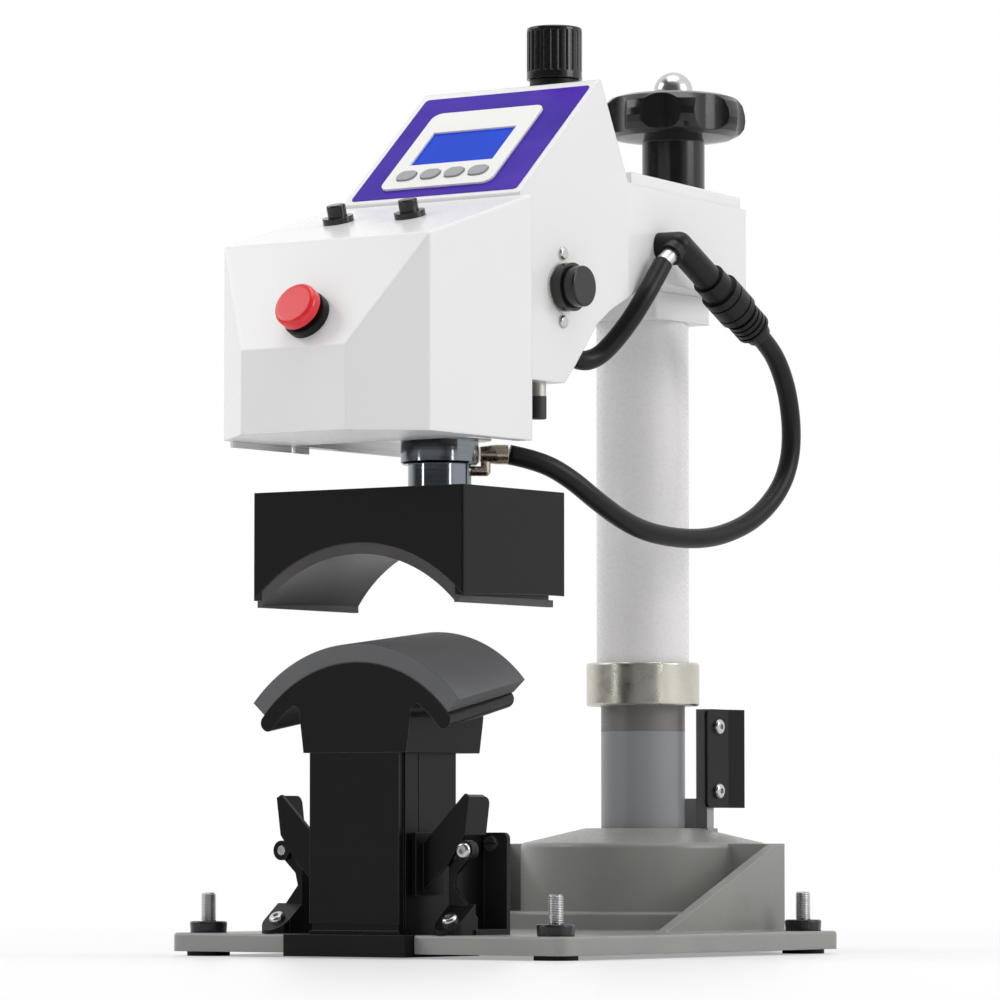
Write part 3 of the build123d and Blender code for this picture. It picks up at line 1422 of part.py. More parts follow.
def main():
    """Build and write every node."""
    os.makedirs("parts", exist_ok=True)
    pads, studs, caps = foot_pieces()
    save("base_casting", base_casting())
    save("foot_pads", *pads)
    save("foot_studs", *studs)
    save("foot_caps", *caps)
    save("seat_block", seat_block())
    save("pedestal_post", pedestal_post())
    save("cradle", cradle())
    save("silicone_pad", silicone_pad())
    save("lever_right", clamp_lever())
    save("lever_left", mirrored(clamp_lever()))
    save("lever_brackets", *both_sides(lever_bracket()))
    save("pivot_screws", *pivot_screws())
    save("bracket_screws", *both_sides(foot_screw()))
    save("slotted_screws", *both_sides(slotted_screw()))
    save("column_post", column_post())
    lower, upper = column_bushes()
    save("column_bushes", lower, upper, thrust_washer())
    save("outer_tube", outer_tube())
    save("foot_ring", foot_ring())
    save("lift_bracket", lift_bracket())
    save("lift_nut", lift_nut())
    save("stop_bar", stop_bar(), stop_spacer())
    save("stop_plate", stop_plate())
    save("stop_screws", *stop_screws())
    save("arm_shell", arm_shell())
    save("arm_top_plate", arm_top_plate())
    save("sleeve_block", sleeve_block())
    save("height_screw", height_screw(), screw_collar())
    save("handwheel", handwheel())
    save("ball_nut", ball_nut())
    save("head_cover", head_cover())
    save("cover_bosses", *cover_bosses())
    save("start_rings", *start_rings())
    save("start_cap_right", start_cap(1))
    save("start_cap_left", start_cap(-1))
    save("stop_collar", stop_collar(), contact_block())
    save("stop_cap", stop_cap())
    save("panel_overlay", panel_overlay())
    save("display_bezel", display_bezel())
    save("display_glass", display_glass())
    for number, x in enumerate(key_positions(), start=1):
        save(f"key_{number}", key_cap(x))
    save("controller_board", controller_board(), *board_standoffs())
    save("regulator_body", regulator_body())
    save("regulator_knob", regulator_knob())
    save("side_collar", side_collar(), side_flange())
    save("side_cap", side_cap())
    save("side_screws", *side_screws())
    save("silencer", silencer(), silencer_body())
    save("air_cylinder", cylinder_barrel(), rod_gland(), cylinder_plate())
    save("press_rod", press_rod(), piston())
    save("platen_body", platen_body())
    save("heater_shoe", heater_shoe())
    save("lead_fitting", lead_fitting())
    save("heater_lead", lead(HEATER_LEAD))
    save("inline_plug", inline_plug())
    save("elbow_sleeve", elbow_sleeve())
    save("steel_tube", steel_tube())
    save("supply_lead", supply_lead())


main()
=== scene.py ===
"""Looks of the cap heat press: camera, light, leads, finishes and the small turned and moulded pieces.

Lengths in the dataclasses are the machine's own millimetres, with the column's middle plane at X 0.
"""

import logging
import math
from dataclasses import dataclass, field, replace
from enum import Enum

import bmesh
import bpy
from mathutils import Matrix, Vector


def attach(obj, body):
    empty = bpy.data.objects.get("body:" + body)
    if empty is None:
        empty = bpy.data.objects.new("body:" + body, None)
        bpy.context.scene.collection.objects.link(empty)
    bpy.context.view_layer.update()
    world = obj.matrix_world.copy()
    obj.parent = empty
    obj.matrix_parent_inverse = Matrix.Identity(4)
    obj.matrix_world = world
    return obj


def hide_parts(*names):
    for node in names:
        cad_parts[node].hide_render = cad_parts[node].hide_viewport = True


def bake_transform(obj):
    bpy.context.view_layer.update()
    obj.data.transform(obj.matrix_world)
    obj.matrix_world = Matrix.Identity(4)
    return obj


LOG = logging.getLogger("cap_press")
Colour = tuple[float, float, float]
Point = tuple[float, float, float]

ORIGIN_X = 7.0
ORIGIN_Y = 177.05


def row(point: Point) -> Vector:
    """Turns a point of the machine into the row frame.

    Args:
        point: X, Y and Z in the machine's millimetres.

    Returns:
        The same point in metres.
    """
    x, y, z = point
    return Vector(((x - ORIGIN_X) / 1000, (y - ORIGIN_Y) / 1000, z / 1000))


def mm(length: float) -> float:
    """Returns a length in metres from millimetres."""
    return length / 1000


# ---------------------------------------------------------------- shader graph

class Graph:
    """Adds nodes to one node tree and joins them."""

    def __init__(self, tree: bpy.types.NodeTree) -> None:
        """Keeps the tree that the nodes go into."""
        self.tree = tree

    def add(self, kind: str, values: dict | None = None, **settings: object) -> bpy.types.Node:
        """Adds a node.

        Args:
            kind: The node's type name.
            values: Input socket, by name or index, to a constant or to the socket that feeds it.
            **settings: The node's own properties.

        Returns:
            The new node.
        """
        node = self.tree.nodes.new(kind)
        for name, value in settings.items():
            setattr(node, name, value)
        for socket, value in (values or {}).items():
            if isinstance(value, bpy.types.NodeSocket):
                self.tree.links.new(value, node.inputs[socket])
            else:
                node.inputs[socket].default_value = value
        return node

    def math(self, operation: str, *values: object, clamp: bool = False) -> bpy.types.NodeSocket:
        """Adds a Math node and returns its output."""
        node = self.add("ShaderNodeMath", dict(enumerate(values)), operation=operation, use_clamp=clamp)
        return node.outputs[0]

    def mix(self, factor: object, a: object, b: object) -> bpy.types.NodeSocket:
        """Mixes two numbers and returns the result."""
        node = self.add("ShaderNodeMix", {0: factor, 2: a, 3: b}, data_type="FLOAT")
        return node.outputs[0]

    def mix_colour(self, factor: object, a: object, b: object) -> bpy.types.NodeSocket:
        """Mixes two colours and returns the result."""
        node = self.add("ShaderNodeMix", {0: factor, 6: a, 7: b}, data_type="RGBA")
        return node.outputs[2]

    def ramp(self, factor: object, low: float, high: float) -> bpy.types.NodeSocket:
        """Rises smoothly from 0 to 1 between two values of the factor."""
        node = self.add(
            "ShaderNodeMapRange", {0: factor, 1: low, 2: high}, interpolation_type="SMOOTHSTEP"
        )
        return node.outputs[0]

    def place(self) -> bpy.types.NodeSocket:
        """Returns the place on the object, in metres."""
        return self.add("ShaderNodeTexCoord").outputs["Object"]


def rgba(colour: Colour) -> tuple[float, float, float, float]:
    """Returns a colour with full alpha."""
    return (*colour, 1.0)


class Effect(Enum):
    """Surface effects that several finishes share."""

    ROUNDED_EDGES = "rounded edges"
    FINE_GRAIN = "fine grain"
    TONE_DRIFT = "tone drift"
    WORN_EDGES = "worn edges"
    STREAKS = "streaks"
    SETTLED_DUST = "settled dust"
    ZONE = "zone"


class EffectShelf:
    """Builds each shared effect once as a node group and places it in materials."""

    def __init__(self) -> None:
        """Starts with no group built."""
        self.groups: dict[Effect, bpy.types.NodeTree] = {}
        self.makers = {
            Effect.ROUNDED_EDGES: self.rounded_edges,
            Effect.FINE_GRAIN: self.fine_grain,
            Effect.TONE_DRIFT: self.tone_drift,
            Effect.WORN_EDGES: self.worn_edges,
            Effect.STREAKS: self.streaks,
            Effect.SETTLED_DUST: self.settled_dust,
            Effect.ZONE: self.zone,
        }

    def place(self, graph: Graph, effect: Effect, **values: object) -> bpy.types.Node:
        """Places an effect in a material.

        Args:
            graph: The material's graph.
            effect: Which effect.
            **values: Input by name, with spaces written as underscores.

        Returns:
            The group node.
        """
        if effect not in self.groups:
            self.groups[effect] = self.makers[effect]()
        named = {name.replace("_", " "): value for name, value in values.items()}
        node = graph.add("ShaderNodeGroup", node_tree=self.groups[effect])
        for name, value in named.items():
            if isinstance(value, bpy.types.NodeSocket):
                graph.tree.links.new(value, node.inputs[name])
            else:
                node.inputs[name].default_value = value
        return node

    @staticmethod
    def shell(
        effect: Effect, inputs: dict[str, str], outputs: dict[str, str]
    ) -> tuple[Graph, bpy.types.Node, bpy.types.Node]:
        """Makes an empty group.

        Args:
            effect: The effect that the group is for.
            inputs: Input name to socket kind.
            outputs: Output name to socket kind.

        Returns:
            The group's graph, its input node and its output node.
        """
        kinds = {"value": "NodeSocketFloat", "colour": "NodeSocketColor", "vector": "NodeSocketVector"}
        tree = bpy.data.node_groups.new(effect.value, "ShaderNodeTree")
        for name, kind in inputs.items():
            tree.interface.new_socket(name, in_out="INPUT", socket_type=kinds[kind])
        for name, kind in outputs.items():
            tree.interface.new_socket(name, in_out="OUTPUT", socket_type=kinds[kind])
        graph = Graph(tree)
        return graph, graph.add("NodeGroupInput"), graph.add("NodeGroupOutput")

    def rounded_edges(self) -> bpy.types.NodeTree:
        """Normal that rounds the edges over, and a mask of where they are."""
        graph, given, out = self.shell(
            Effect.ROUNDED_EDGES, {"Radius": "value"}, {"Normal": "vector", "Edge": "value"}
        )
        soft = graph.add("ShaderNodeBevel", {"Radius": given.outputs["Radius"]}, samples=6)
        flat = graph.add("ShaderNodeNewGeometry")
        dot = graph.add(
            "ShaderNodeVectorMath", {0: soft.outputs[0], 1: flat.outputs["Normal"]}, operation="DOT_PRODUCT"
        )
        turn = graph.math("SUBTRACT", 1.0, dot.outputs["Value"])
        graph.tree.links.new(soft.outputs[0], out.inputs["Normal"])
        graph.tree.links.new(graph.ramp(turn, 0.02, 0.22), out.inputs["Edge"])
        return graph.tree

    def fine_grain(self) -> bpy.types.NodeTree:
        """Fine even texture: the skin of paint, powder coat, rubber or a casting."""
        graph, given, out = self.shell(
            Effect.FINE_GRAIN, {"Scale": "value", "Detail": "value"}, {"Height": "value", "Mask": "value"}
        )
        noise = graph.add(
            "ShaderNodeTexNoise",
            {"Vector": graph.place(), "Scale": given.outputs["Scale"], "Detail": given.outputs["Detail"]},
        )
        graph.tree.links.new(noise.outputs[0], out.inputs["Height"])
        graph.tree.links.new(graph.ramp(noise.outputs[0], 0.35, 0.65), out.inputs["Mask"])
        return graph.tree

    def tone_drift(self) -> bpy.types.NodeTree:
        """Slow change between two tones of one colour."""
        graph, given, out = self.shell(
            Effect.TONE_DRIFT,
            {"Colour": "colour", "Shade": "colour", "Scale": "value", "Amount": "value"},
            {"Colour": "colour", "Mask": "value"},
        )
        noise = graph.add(
            "ShaderNodeTexNoise",
            {"Vector": graph.place(), "Scale": given.outputs["Scale"], "Detail": 4.0},
        )
        mask = graph.ramp(noise.outputs[0], 0.3, 0.7)
        factor = graph.math("MULTIPLY", mask, given.outputs["Amount"])
        colour = graph.mix_colour(factor, given.outputs["Colour"], given.outputs["Shade"])
        graph.tree.links.new(colour, out.inputs["Colour"])
        graph.tree.links.new(mask, out.inputs["Mask"])
        return graph.tree

    def worn_edges(self) -> bpy.types.NodeTree:
        """Broken mask of bare spots along the edges."""
        graph, given, out = self.shell(
            Effect.WORN_EDGES, {"Edge": "value", "Scale": "value", "Amount": "value"}, {"Mask": "value"}
        )
        noise = graph.add(
            "ShaderNodeTexNoise",
            {"Vector": graph.place(), "Scale": given.outputs["Scale"], "Detail": 3.0},
        )
        spots = graph.ramp(noise.outputs[0], 0.46, 0.62)
        worn = graph.math("MULTIPLY", spots, given.outputs["Edge"])
        graph.tree.links.new(graph.math("MULTIPLY", worn, given.outputs["Amount"]), out.inputs["Mask"])
        return graph.tree

    def streaks(self) -> bpy.types.NodeTree:
        """Long fine lines left by turning, grinding or drawing; the panel film uses them for a painted sheen."""
        graph, given, out = self.shell(
            Effect.STREAKS, {"Stretch": "vector"}, {"Height": "value", "Mask": "value"}
        )
        scaled = graph.add(
            "ShaderNodeVectorMath", {0: graph.place(), 1: given.outputs["Stretch"]}, operation="MULTIPLY"
        )
        noise = graph.add(
            "ShaderNodeTexNoise", {"Vector": scaled.outputs[0], "Scale": 1.0, "Detail": 3.0}
        )
        graph.tree.links.new(noise.outputs[0], out.inputs["Height"])
        graph.tree.links.new(graph.ramp(noise.outputs[0], 0.3, 0.7), out.inputs["Mask"])
        return graph.tree

    def settled_dust(self) -> bpy.types.NodeTree:
        """Thin patchy dust on what faces up."""
        graph, given, out = self.shell(
            Effect.SETTLED_DUST, {"Scale": "value", "Amount": "value"}, {"Mask": "value"}
        )
        up = graph.add("ShaderNodeSeparateXYZ", {0: graph.add("ShaderNodeNewGeometry").outputs["Normal"]})
        noise = graph.add(
            "ShaderNodeTexNoise",
            {"Vector": graph.place(), "Scale": given.outputs["Scale"], "Detail": 6.0},
        )
        patch = graph.math("MULTIPLY", graph.ramp(noise.outputs[0], 0.4, 0.75), graph.ramp(up.outputs[2], 0.6, 0.95))
        graph.tree.links.new(graph.math("MULTIPLY", patch, given.outputs["Amount"]), out.inputs["Mask"])
        return graph.tree

    def zone(self) -> bpy.types.NodeTree:
        """Mask of the part of a piece that lies between two corners."""
        graph, given, out = self.shell(
            Effect.ZONE, {"Low": "vector", "High": "vector"}, {"Mask": "value"}
        )
        place = graph.place()
        above = graph.add("ShaderNodeVectorMath", {0: place, 1: given.outputs["Low"]}, operation="SUBTRACT")
        below = graph.add("ShaderNodeVectorMath", {0: given.outputs["High"], 1: place}, operation="SUBTRACT")
        least = graph.add(
            "ShaderNodeVectorMath", {0: above.outputs[0], 1: below.outputs[0]}, operation="MINIMUM"
        )
        parts = graph.add("ShaderNodeSeparateXYZ", {0: least.outputs[0]})
        inside = graph.math("MINIMUM", graph.math("MINIMUM", parts.outputs[0], parts.outputs[1]), parts.outputs[2])
        graph.tree.links.new(graph.math("GREATER_THAN", inside, 0.0), out.inputs["Mask"])
        return graph.tree


SHELF = EffectShelf()


# ---------------------------------------------------------------- finishes

@dataclass(frozen=True)
class Patch:
    """A part of a piece that has another finish, on some pieces painted light instead: its two corners, colour,
    roughness and metal.
    """

    low: Point
    high: Point
    colour: Colour
    roughness: float
    metallic: float = 0.0


@dataclass(frozen=True)
class Finish:
    """A surface finish, from the record's slot to the marks that use leaves on it."""

    name: str
    slot: str
    colour: Colour
    shade: Colour
    roughness: float
    metallic: float = 0.0
    specular: float = 0.5
    coat: float = 0.0
    edge_radius: float = 0.4
    # painted_edge_light mixes every rounded edge towards the edge colour: a painted highlight, and painted shade
    # where that colour is dark
    painted_edge_light: float = 0.0
    grain_scale: float = 1500.0
    grain_depth: float = 0.01
    grain_tone: float = 0.06
    drift_scale: float = 14.0
    drift: float = 0.5
    wear: float = 0.0
    wear_scale: float = 900.0
    # Colour of the worn spots and of the painted edge highlight and shade
    wear_and_edge_light_colour: Colour = (0.6, 0.6, 0.6)
    dust: float = 0.0
    stretch: Point | None = None
    streak_depth: float = 0.0
    patches: tuple[Patch, ...] = ()

    def base(self, graph: Graph) -> tuple[bpy.types.NodeSocket, object, object]:
        """Mixes the colour, roughness and metal of the finish and its patches.

        Args:
            graph: The material's graph.

        Returns:
            Colour, roughness and metallic, each a socket or a number.
        """
        drift = SHELF.place(
            graph, Effect.TONE_DRIFT, Colour=rgba(self.colour), Shade=rgba(self.shade),
            Scale=self.drift_scale, Amount=self.drift,
        )
        colour, rough, metal = drift.outputs["Colour"], self.roughness, self.metallic
        for patch in self.patches:
            mask = SHELF.place(graph, Effect.ZONE, Low=row(patch.low), High=row(patch.high)).outputs["Mask"]
            colour = graph.mix_colour(mask, colour, rgba(patch.colour))
            rough = graph.mix(mask, rough, patch.roughness)
            metal = graph.mix(mask, metal, patch.metallic)
        return colour, rough, metal

    def material(self) -> bpy.types.Material:
        """Builds the material, or returns it where it has been built already."""
        if self.name in bpy.data.materials:
            return bpy.data.materials[self.name]
        made = bpy.data.materials.new(self.name)
        made.use_nodes = True
        made.node_tree.nodes.clear()
        graph = Graph(made.node_tree)
        edges = SHELF.place(graph, Effect.ROUNDED_EDGES, Radius=mm(self.edge_radius))
        colour, rough, metal = self.base(graph)
        # Painted highlight along every edge; painted shade where the edge colour is dark
        if self.painted_edge_light:
            lift = graph.math("MULTIPLY", edges.outputs["Edge"], self.painted_edge_light)
            colour = graph.mix_colour(lift, colour, rgba(self.wear_and_edge_light_colour))
        if self.wear:
            worn = SHELF.place(
                graph, Effect.WORN_EDGES, Edge=edges.outputs["Edge"], Scale=self.wear_scale, Amount=self.wear
            ).outputs["Mask"]
            colour = graph.mix_colour(worn, colour, rgba(self.wear_and_edge_light_colour))
            rough = graph.mix(worn, rough, 0.35)
        if self.dust:
            dust = SHELF.place(graph, Effect.SETTLED_DUST, Scale=60.0, Amount=self.dust).outputs["Mask"]
            colour = graph.mix_colour(dust, colour, rgba((0.45, 0.43, 0.40)))
            rough = graph.mix(dust, rough, 0.75)
        if self.stretch:
            skin = SHELF.place(graph, Effect.STREAKS, Stretch=self.stretch)
            depth = self.streak_depth
        else:
            skin = SHELF.place(graph, Effect.FINE_GRAIN, Scale=self.grain_scale, Detail=3.0)
            depth = self.grain_depth
        spread = graph.math("MULTIPLY_ADD", skin.outputs["Mask"], self.grain_tone, -self.grain_tone / 2)
        rough = graph.math("ADD", rough, spread, clamp=True)
        bump = graph.add(
            "ShaderNodeBump",
            {"Strength": 1.0, "Distance": mm(depth), "Height": skin.outputs["Height"],
             "Normal": edges.outputs["Normal"]},
        )
        shader = graph.add(
            "ShaderNodeBsdfPrincipled",
            {"Base Color": colour, "Roughness": rough, "Metallic": metal,
             "Specular IOR Level": self.specular, "Coat Weight": self.coat,
             "Coat Roughness": 0.06, "Normal": bump.outputs[0]},
        )
        graph.add("ShaderNodeOutputMaterial", {"Surface": shader.outputs[0]})
        return made

    def put_on(self, *nodes: str) -> None:
        """Puts the finish on CAD nodes.

        Args:
            *nodes: Names of the nodes.
        """
        for name in nodes:
            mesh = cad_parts[name].data
            mesh.materials.clear()
            mesh.materials.append(self.material())
            LOG.info("%s on %s", self.name, name)

    def dress(self, piece: bpy.types.Object) -> bpy.types.Object:
        """Puts the finish on a new piece.

        Args:
            piece: The new piece.

        Returns:
            The same piece.
        """
        piece.data.materials.clear()
        piece.data.materials.append(self.material())
        return piece


# Painted highlight: the edges are lightened to near white
WHITE_PAINT = Finish(
    "gloss white paint", "white_paint", (0.80, 0.80, 0.80), (0.77, 0.768, 0.765), 0.24,
    edge_radius=1.6, painted_edge_light=0.55, grain_scale=420.0, grain_depth=0.006, grain_tone=0.05,
    wear_and_edge_light_colour=(0.94, 0.94, 0.94), drift_scale=6.0,
)
TUBE_PAINT = Finish(
    "white tube paint", "white_paint", (0.79, 0.775, 0.775), (0.765, 0.75, 0.752), 0.28,
    edge_radius=0.6, grain_scale=420.0, grain_depth=0.001, grain_tone=0.03, drift_scale=9.0,
)
# Painted highlight: the edges are lightened a little; the broken worn spots are wear
BASE_PAINT = Finish(
    "grey casting paint", "base_paint", (0.275, 0.275, 0.26), (0.25, 0.25, 0.238), 0.34,
    edge_radius=1.5, painted_edge_light=0.25, grain_scale=380.0, grain_depth=0.05, grain_tone=0.12,
    drift_scale=22.0, drift=0.8, wear=0.55, wear_scale=260.0, wear_and_edge_light_colour=(0.52, 0.52, 0.50), dust=0.15,
)
# Painted highlight: the edges are lightened
BAR_PAINT = Finish(
    "grey bar paint", "base_paint", (0.165, 0.165, 0.163), (0.15, 0.15, 0.148), 0.36,
    edge_radius=0.5, painted_edge_light=0.3, grain_scale=700.0, grain_depth=0.02, wear_and_edge_light_colour=(0.4, 0.4, 0.4),
    patches=(
        # Painted light: the bar's +X side face is painted lighter than its front
        Patch((39.9, 340.0, 80.0), (40.5, 380.0, 170.0), (0.36, 0.36, 0.35), 0.35),
        Patch((7.0, 364.0, 80.0), (31.5, 375.0, 105.0), (0.50, 0.50, 0.49), 0.4),
    ),
)
# Painted highlight: the edges are lightened
COLUMN_PAINT = Finish(
    "blue-grey column paint", "column_paint", (0.265, 0.275, 0.282), (0.25, 0.26, 0.268), 0.34,
    edge_radius=0.5, painted_edge_light=0.3, grain_scale=500.0, grain_depth=0.001, wear_and_edge_light_colour=(0.5, 0.51, 0.52),
    drift_scale=16.0,
)
BAND_STEEL = Finish(
    "dark turned band", "black_steel", (0.19, 0.178, 0.175), (0.165, 0.155, 0.152), 0.42, metallic=0.25,
    stretch=(20.0, 20.0, 2600.0), streak_depth=0.01, grain_tone=0.15,
)
ZINC = Finish(
    "yellow zinc plate", "zinc", (0.62, 0.60, 0.53), (0.50, 0.485, 0.43), 0.30, metallic=1.0,
    edge_radius=1.2, grain_scale=90.0, grain_depth=0.001, grain_tone=0.08, drift_scale=24.0, drift=0.5,
)
BRIGHT_STEEL = Finish(
    "bright steel", "steel", (0.60, 0.60, 0.60), (0.50, 0.50, 0.50), 0.24, metallic=1.0,
    edge_radius=0.35, grain_scale=800.0, grain_depth=0.001, grain_tone=0.06, drift_scale=40.0,
)
TURNED_STEEL = Finish(
    "dull steel tube", "steel", (0.66, 0.66, 0.66), (0.58, 0.58, 0.58), 0.34, metallic=1.0,
    edge_radius=0.3, grain_scale=900.0, grain_depth=0.008, grain_tone=0.15, drift_scale=90.0,
)
# Painted highlight: the edges are lightened to grey; the broken worn spots are wear
BLACK_COAT = Finish(
    "black powder coat", "black_coat", (0.0042, 0.0042, 0.0045), (0.003, 0.003, 0.0032), 0.34, specular=0.2,
    edge_radius=0.45, painted_edge_light=0.3, grain_scale=1400.0, grain_depth=0.022, grain_tone=0.10,
    wear=0.65, wear_scale=1500.0, wear_and_edge_light_colour=(0.20, 0.20, 0.20), drift_scale=30.0, dust=0.03,
)
# Painted highlight: the edges are lightened to grey; the broken worn spots are wear
PLATEN_COAT = Finish(
    "black anodised platen", "platen", (0.0042, 0.0042, 0.0045), (0.0032, 0.0032, 0.0034), 0.38, specular=0.2,
    edge_radius=0.5, painted_edge_light=0.3, grain_scale=1100.0, grain_depth=0.03, grain_tone=0.12,
    wear=0.9, wear_scale=2200.0, wear_and_edge_light_colour=(0.30, 0.30, 0.30), drift_scale=24.0,
)
# Painted highlight: the edges are lightened
SHOE_COAT = Finish(
    "dark non-stick shoe", "shoe", (0.062, 0.058, 0.056), (0.045, 0.041, 0.039), 0.40, specular=0.4,
    edge_radius=0.5, painted_edge_light=0.2, grain_scale=900.0, grain_depth=0.02, drift_scale=26.0, drift=0.8,
    wear_and_edge_light_colour=(0.18, 0.18, 0.18),
)
# Painted highlight: the pad's edges and chamfers are lightened
SILICONE = Finish(
    "grey silicone pad", "silicone", (0.112, 0.114, 0.122), (0.098, 0.10, 0.107), 0.55, specular=0.35,
    edge_radius=1.4, painted_edge_light=0.12, grain_scale=2200.0, grain_depth=0.03, grain_tone=0.10,
    drift_scale=30.0, drift=0.7, wear_and_edge_light_colour=(0.20, 0.20, 0.21),
)
GLOSS_BLACK = Finish(
    "gloss black plastic", "black_plastic", (0.007, 0.007, 0.0075), (0.005, 0.005, 0.005), 0.16, specular=0.5,
    edge_radius=0.9, grain_scale=300.0, grain_depth=0.006, grain_tone=0.05, drift_scale=40.0,
)
MATT_BLACK = Finish(
    "matt black plastic", "matte_black", (0.007, 0.007, 0.0075), (0.005, 0.005, 0.005), 0.40, specular=0.25,
    edge_radius=0.5, grain_scale=1300.0, grain_depth=0.02, drift_scale=60.0,
)
RED_PLASTIC = Finish(
    "red button plastic", "red_plastic", (0.72, 0.020, 0.028), (0.66, 0.016, 0.024), 0.22, specular=0.5,
    edge_radius=0.9, grain_scale=500.0, grain_depth=0.006, grain_tone=0.05, drift_scale=60.0,
)
# Painted shade: the key edges are darkened to near black, the dark outline round each key
GREY_KEY = Finish(
    "grey key caps", "grey_key", (0.31, 0.32, 0.325), (0.36, 0.37, 0.375), 0.45,
    edge_radius=0.5, painted_edge_light=0.5, grain_scale=2600.0, grain_depth=0.02, wear_and_edge_light_colour=(0.06, 0.06, 0.07),
    drift_scale=200.0,
)
BEZEL_WHITE = Finish(
    "white display frame", "bezel", (0.80, 0.795, 0.77), (0.775, 0.77, 0.745), 0.34,
    edge_radius=0.6, grain_scale=1800.0, grain_depth=0.006, drift_scale=40.0,
)
RUBBER = Finish(
    "black rubber", "rubber", (0.007, 0.007, 0.0075), (0.005, 0.005, 0.0055), 0.38, specular=0.25,
    edge_radius=0.7, grain_scale=1700.0, grain_depth=0.012, grain_tone=0.10, drift_scale=50.0,
)
FOOT_RUBBER = Finish(
    "dark foot rubber", "rubber", (0.010, 0.010, 0.0105), (0.014, 0.014, 0.014), 0.62, specular=0.3,
    edge_radius=0.6, grain_scale=1200.0, grain_depth=0.03, dust=0.3,
)
FOOT_CAP = Finish(
    "black foot cap", "matte_black", (0.008, 0.009, 0.012), (0.006, 0.006, 0.008), 0.25, specular=0.5,
    edge_radius=0.8, grain_scale=900.0, grain_depth=0.01, dust=0.05,
)
ALUMINIUM = Finish(
    "turned aluminium", "aluminium", (0.60, 0.60, 0.61), (0.54, 0.54, 0.55), 0.32, metallic=1.0,
    stretch=(30.0, 30.0, 2400.0), streak_depth=0.012, grain_tone=0.2,
    patches=(Patch((-35.0, 55.0, 319.0), (35.0, 130.0, 335.9), (0.20, 0.22, 0.24), 0.12, 1.0),),
)
DARK_ROD = Finish(
    "dark polished rod", "dark_rod", (0.24, 0.265, 0.29), (0.20, 0.225, 0.25), 0.12, metallic=1.0,
    stretch=(15.0, 15.0, 1800.0), streak_depth=0.003, grain_tone=0.06,
)
BRONZE = Finish(
    "machined bronze", "bronze", (0.50, 0.34, 0.16), (0.42, 0.28, 0.13), 0.35, metallic=1.0,
    stretch=(30.0, 30.0, 1500.0), streak_depth=0.01, grain_tone=0.15,
)
NICKEL = Finish(
    "nickelled brass fitting", "zinc", (0.55, 0.47, 0.39), (0.44, 0.37, 0.30), 0.28, metallic=1.0,
    edge_radius=0.5, grain_scale=300.0, grain_depth=0.001, grain_tone=0.08, drift_scale=40.0,
)
# Painted highlight: the edges are lightened
BLACK_OXIDE = Finish(
    "blackened steel", "black_steel", (0.22, 0.22, 0.22), (0.16, 0.16, 0.16), 0.35, metallic=0.9,
    edge_radius=0.3, painted_edge_light=0.4, grain_scale=900.0, grain_depth=0.012, wear_and_edge_light_colour=(0.35, 0.35, 0.36),
    drift_scale=90.0,
)
BOARD_GREEN = Finish(
    "green board", "board", (0.03, 0.13, 0.06), (0.025, 0.10, 0.045), 0.4,
    edge_radius=0.2, grain_scale=900.0, grain_depth=0.01,
)


# ---------------------------------------------------------------- meshes

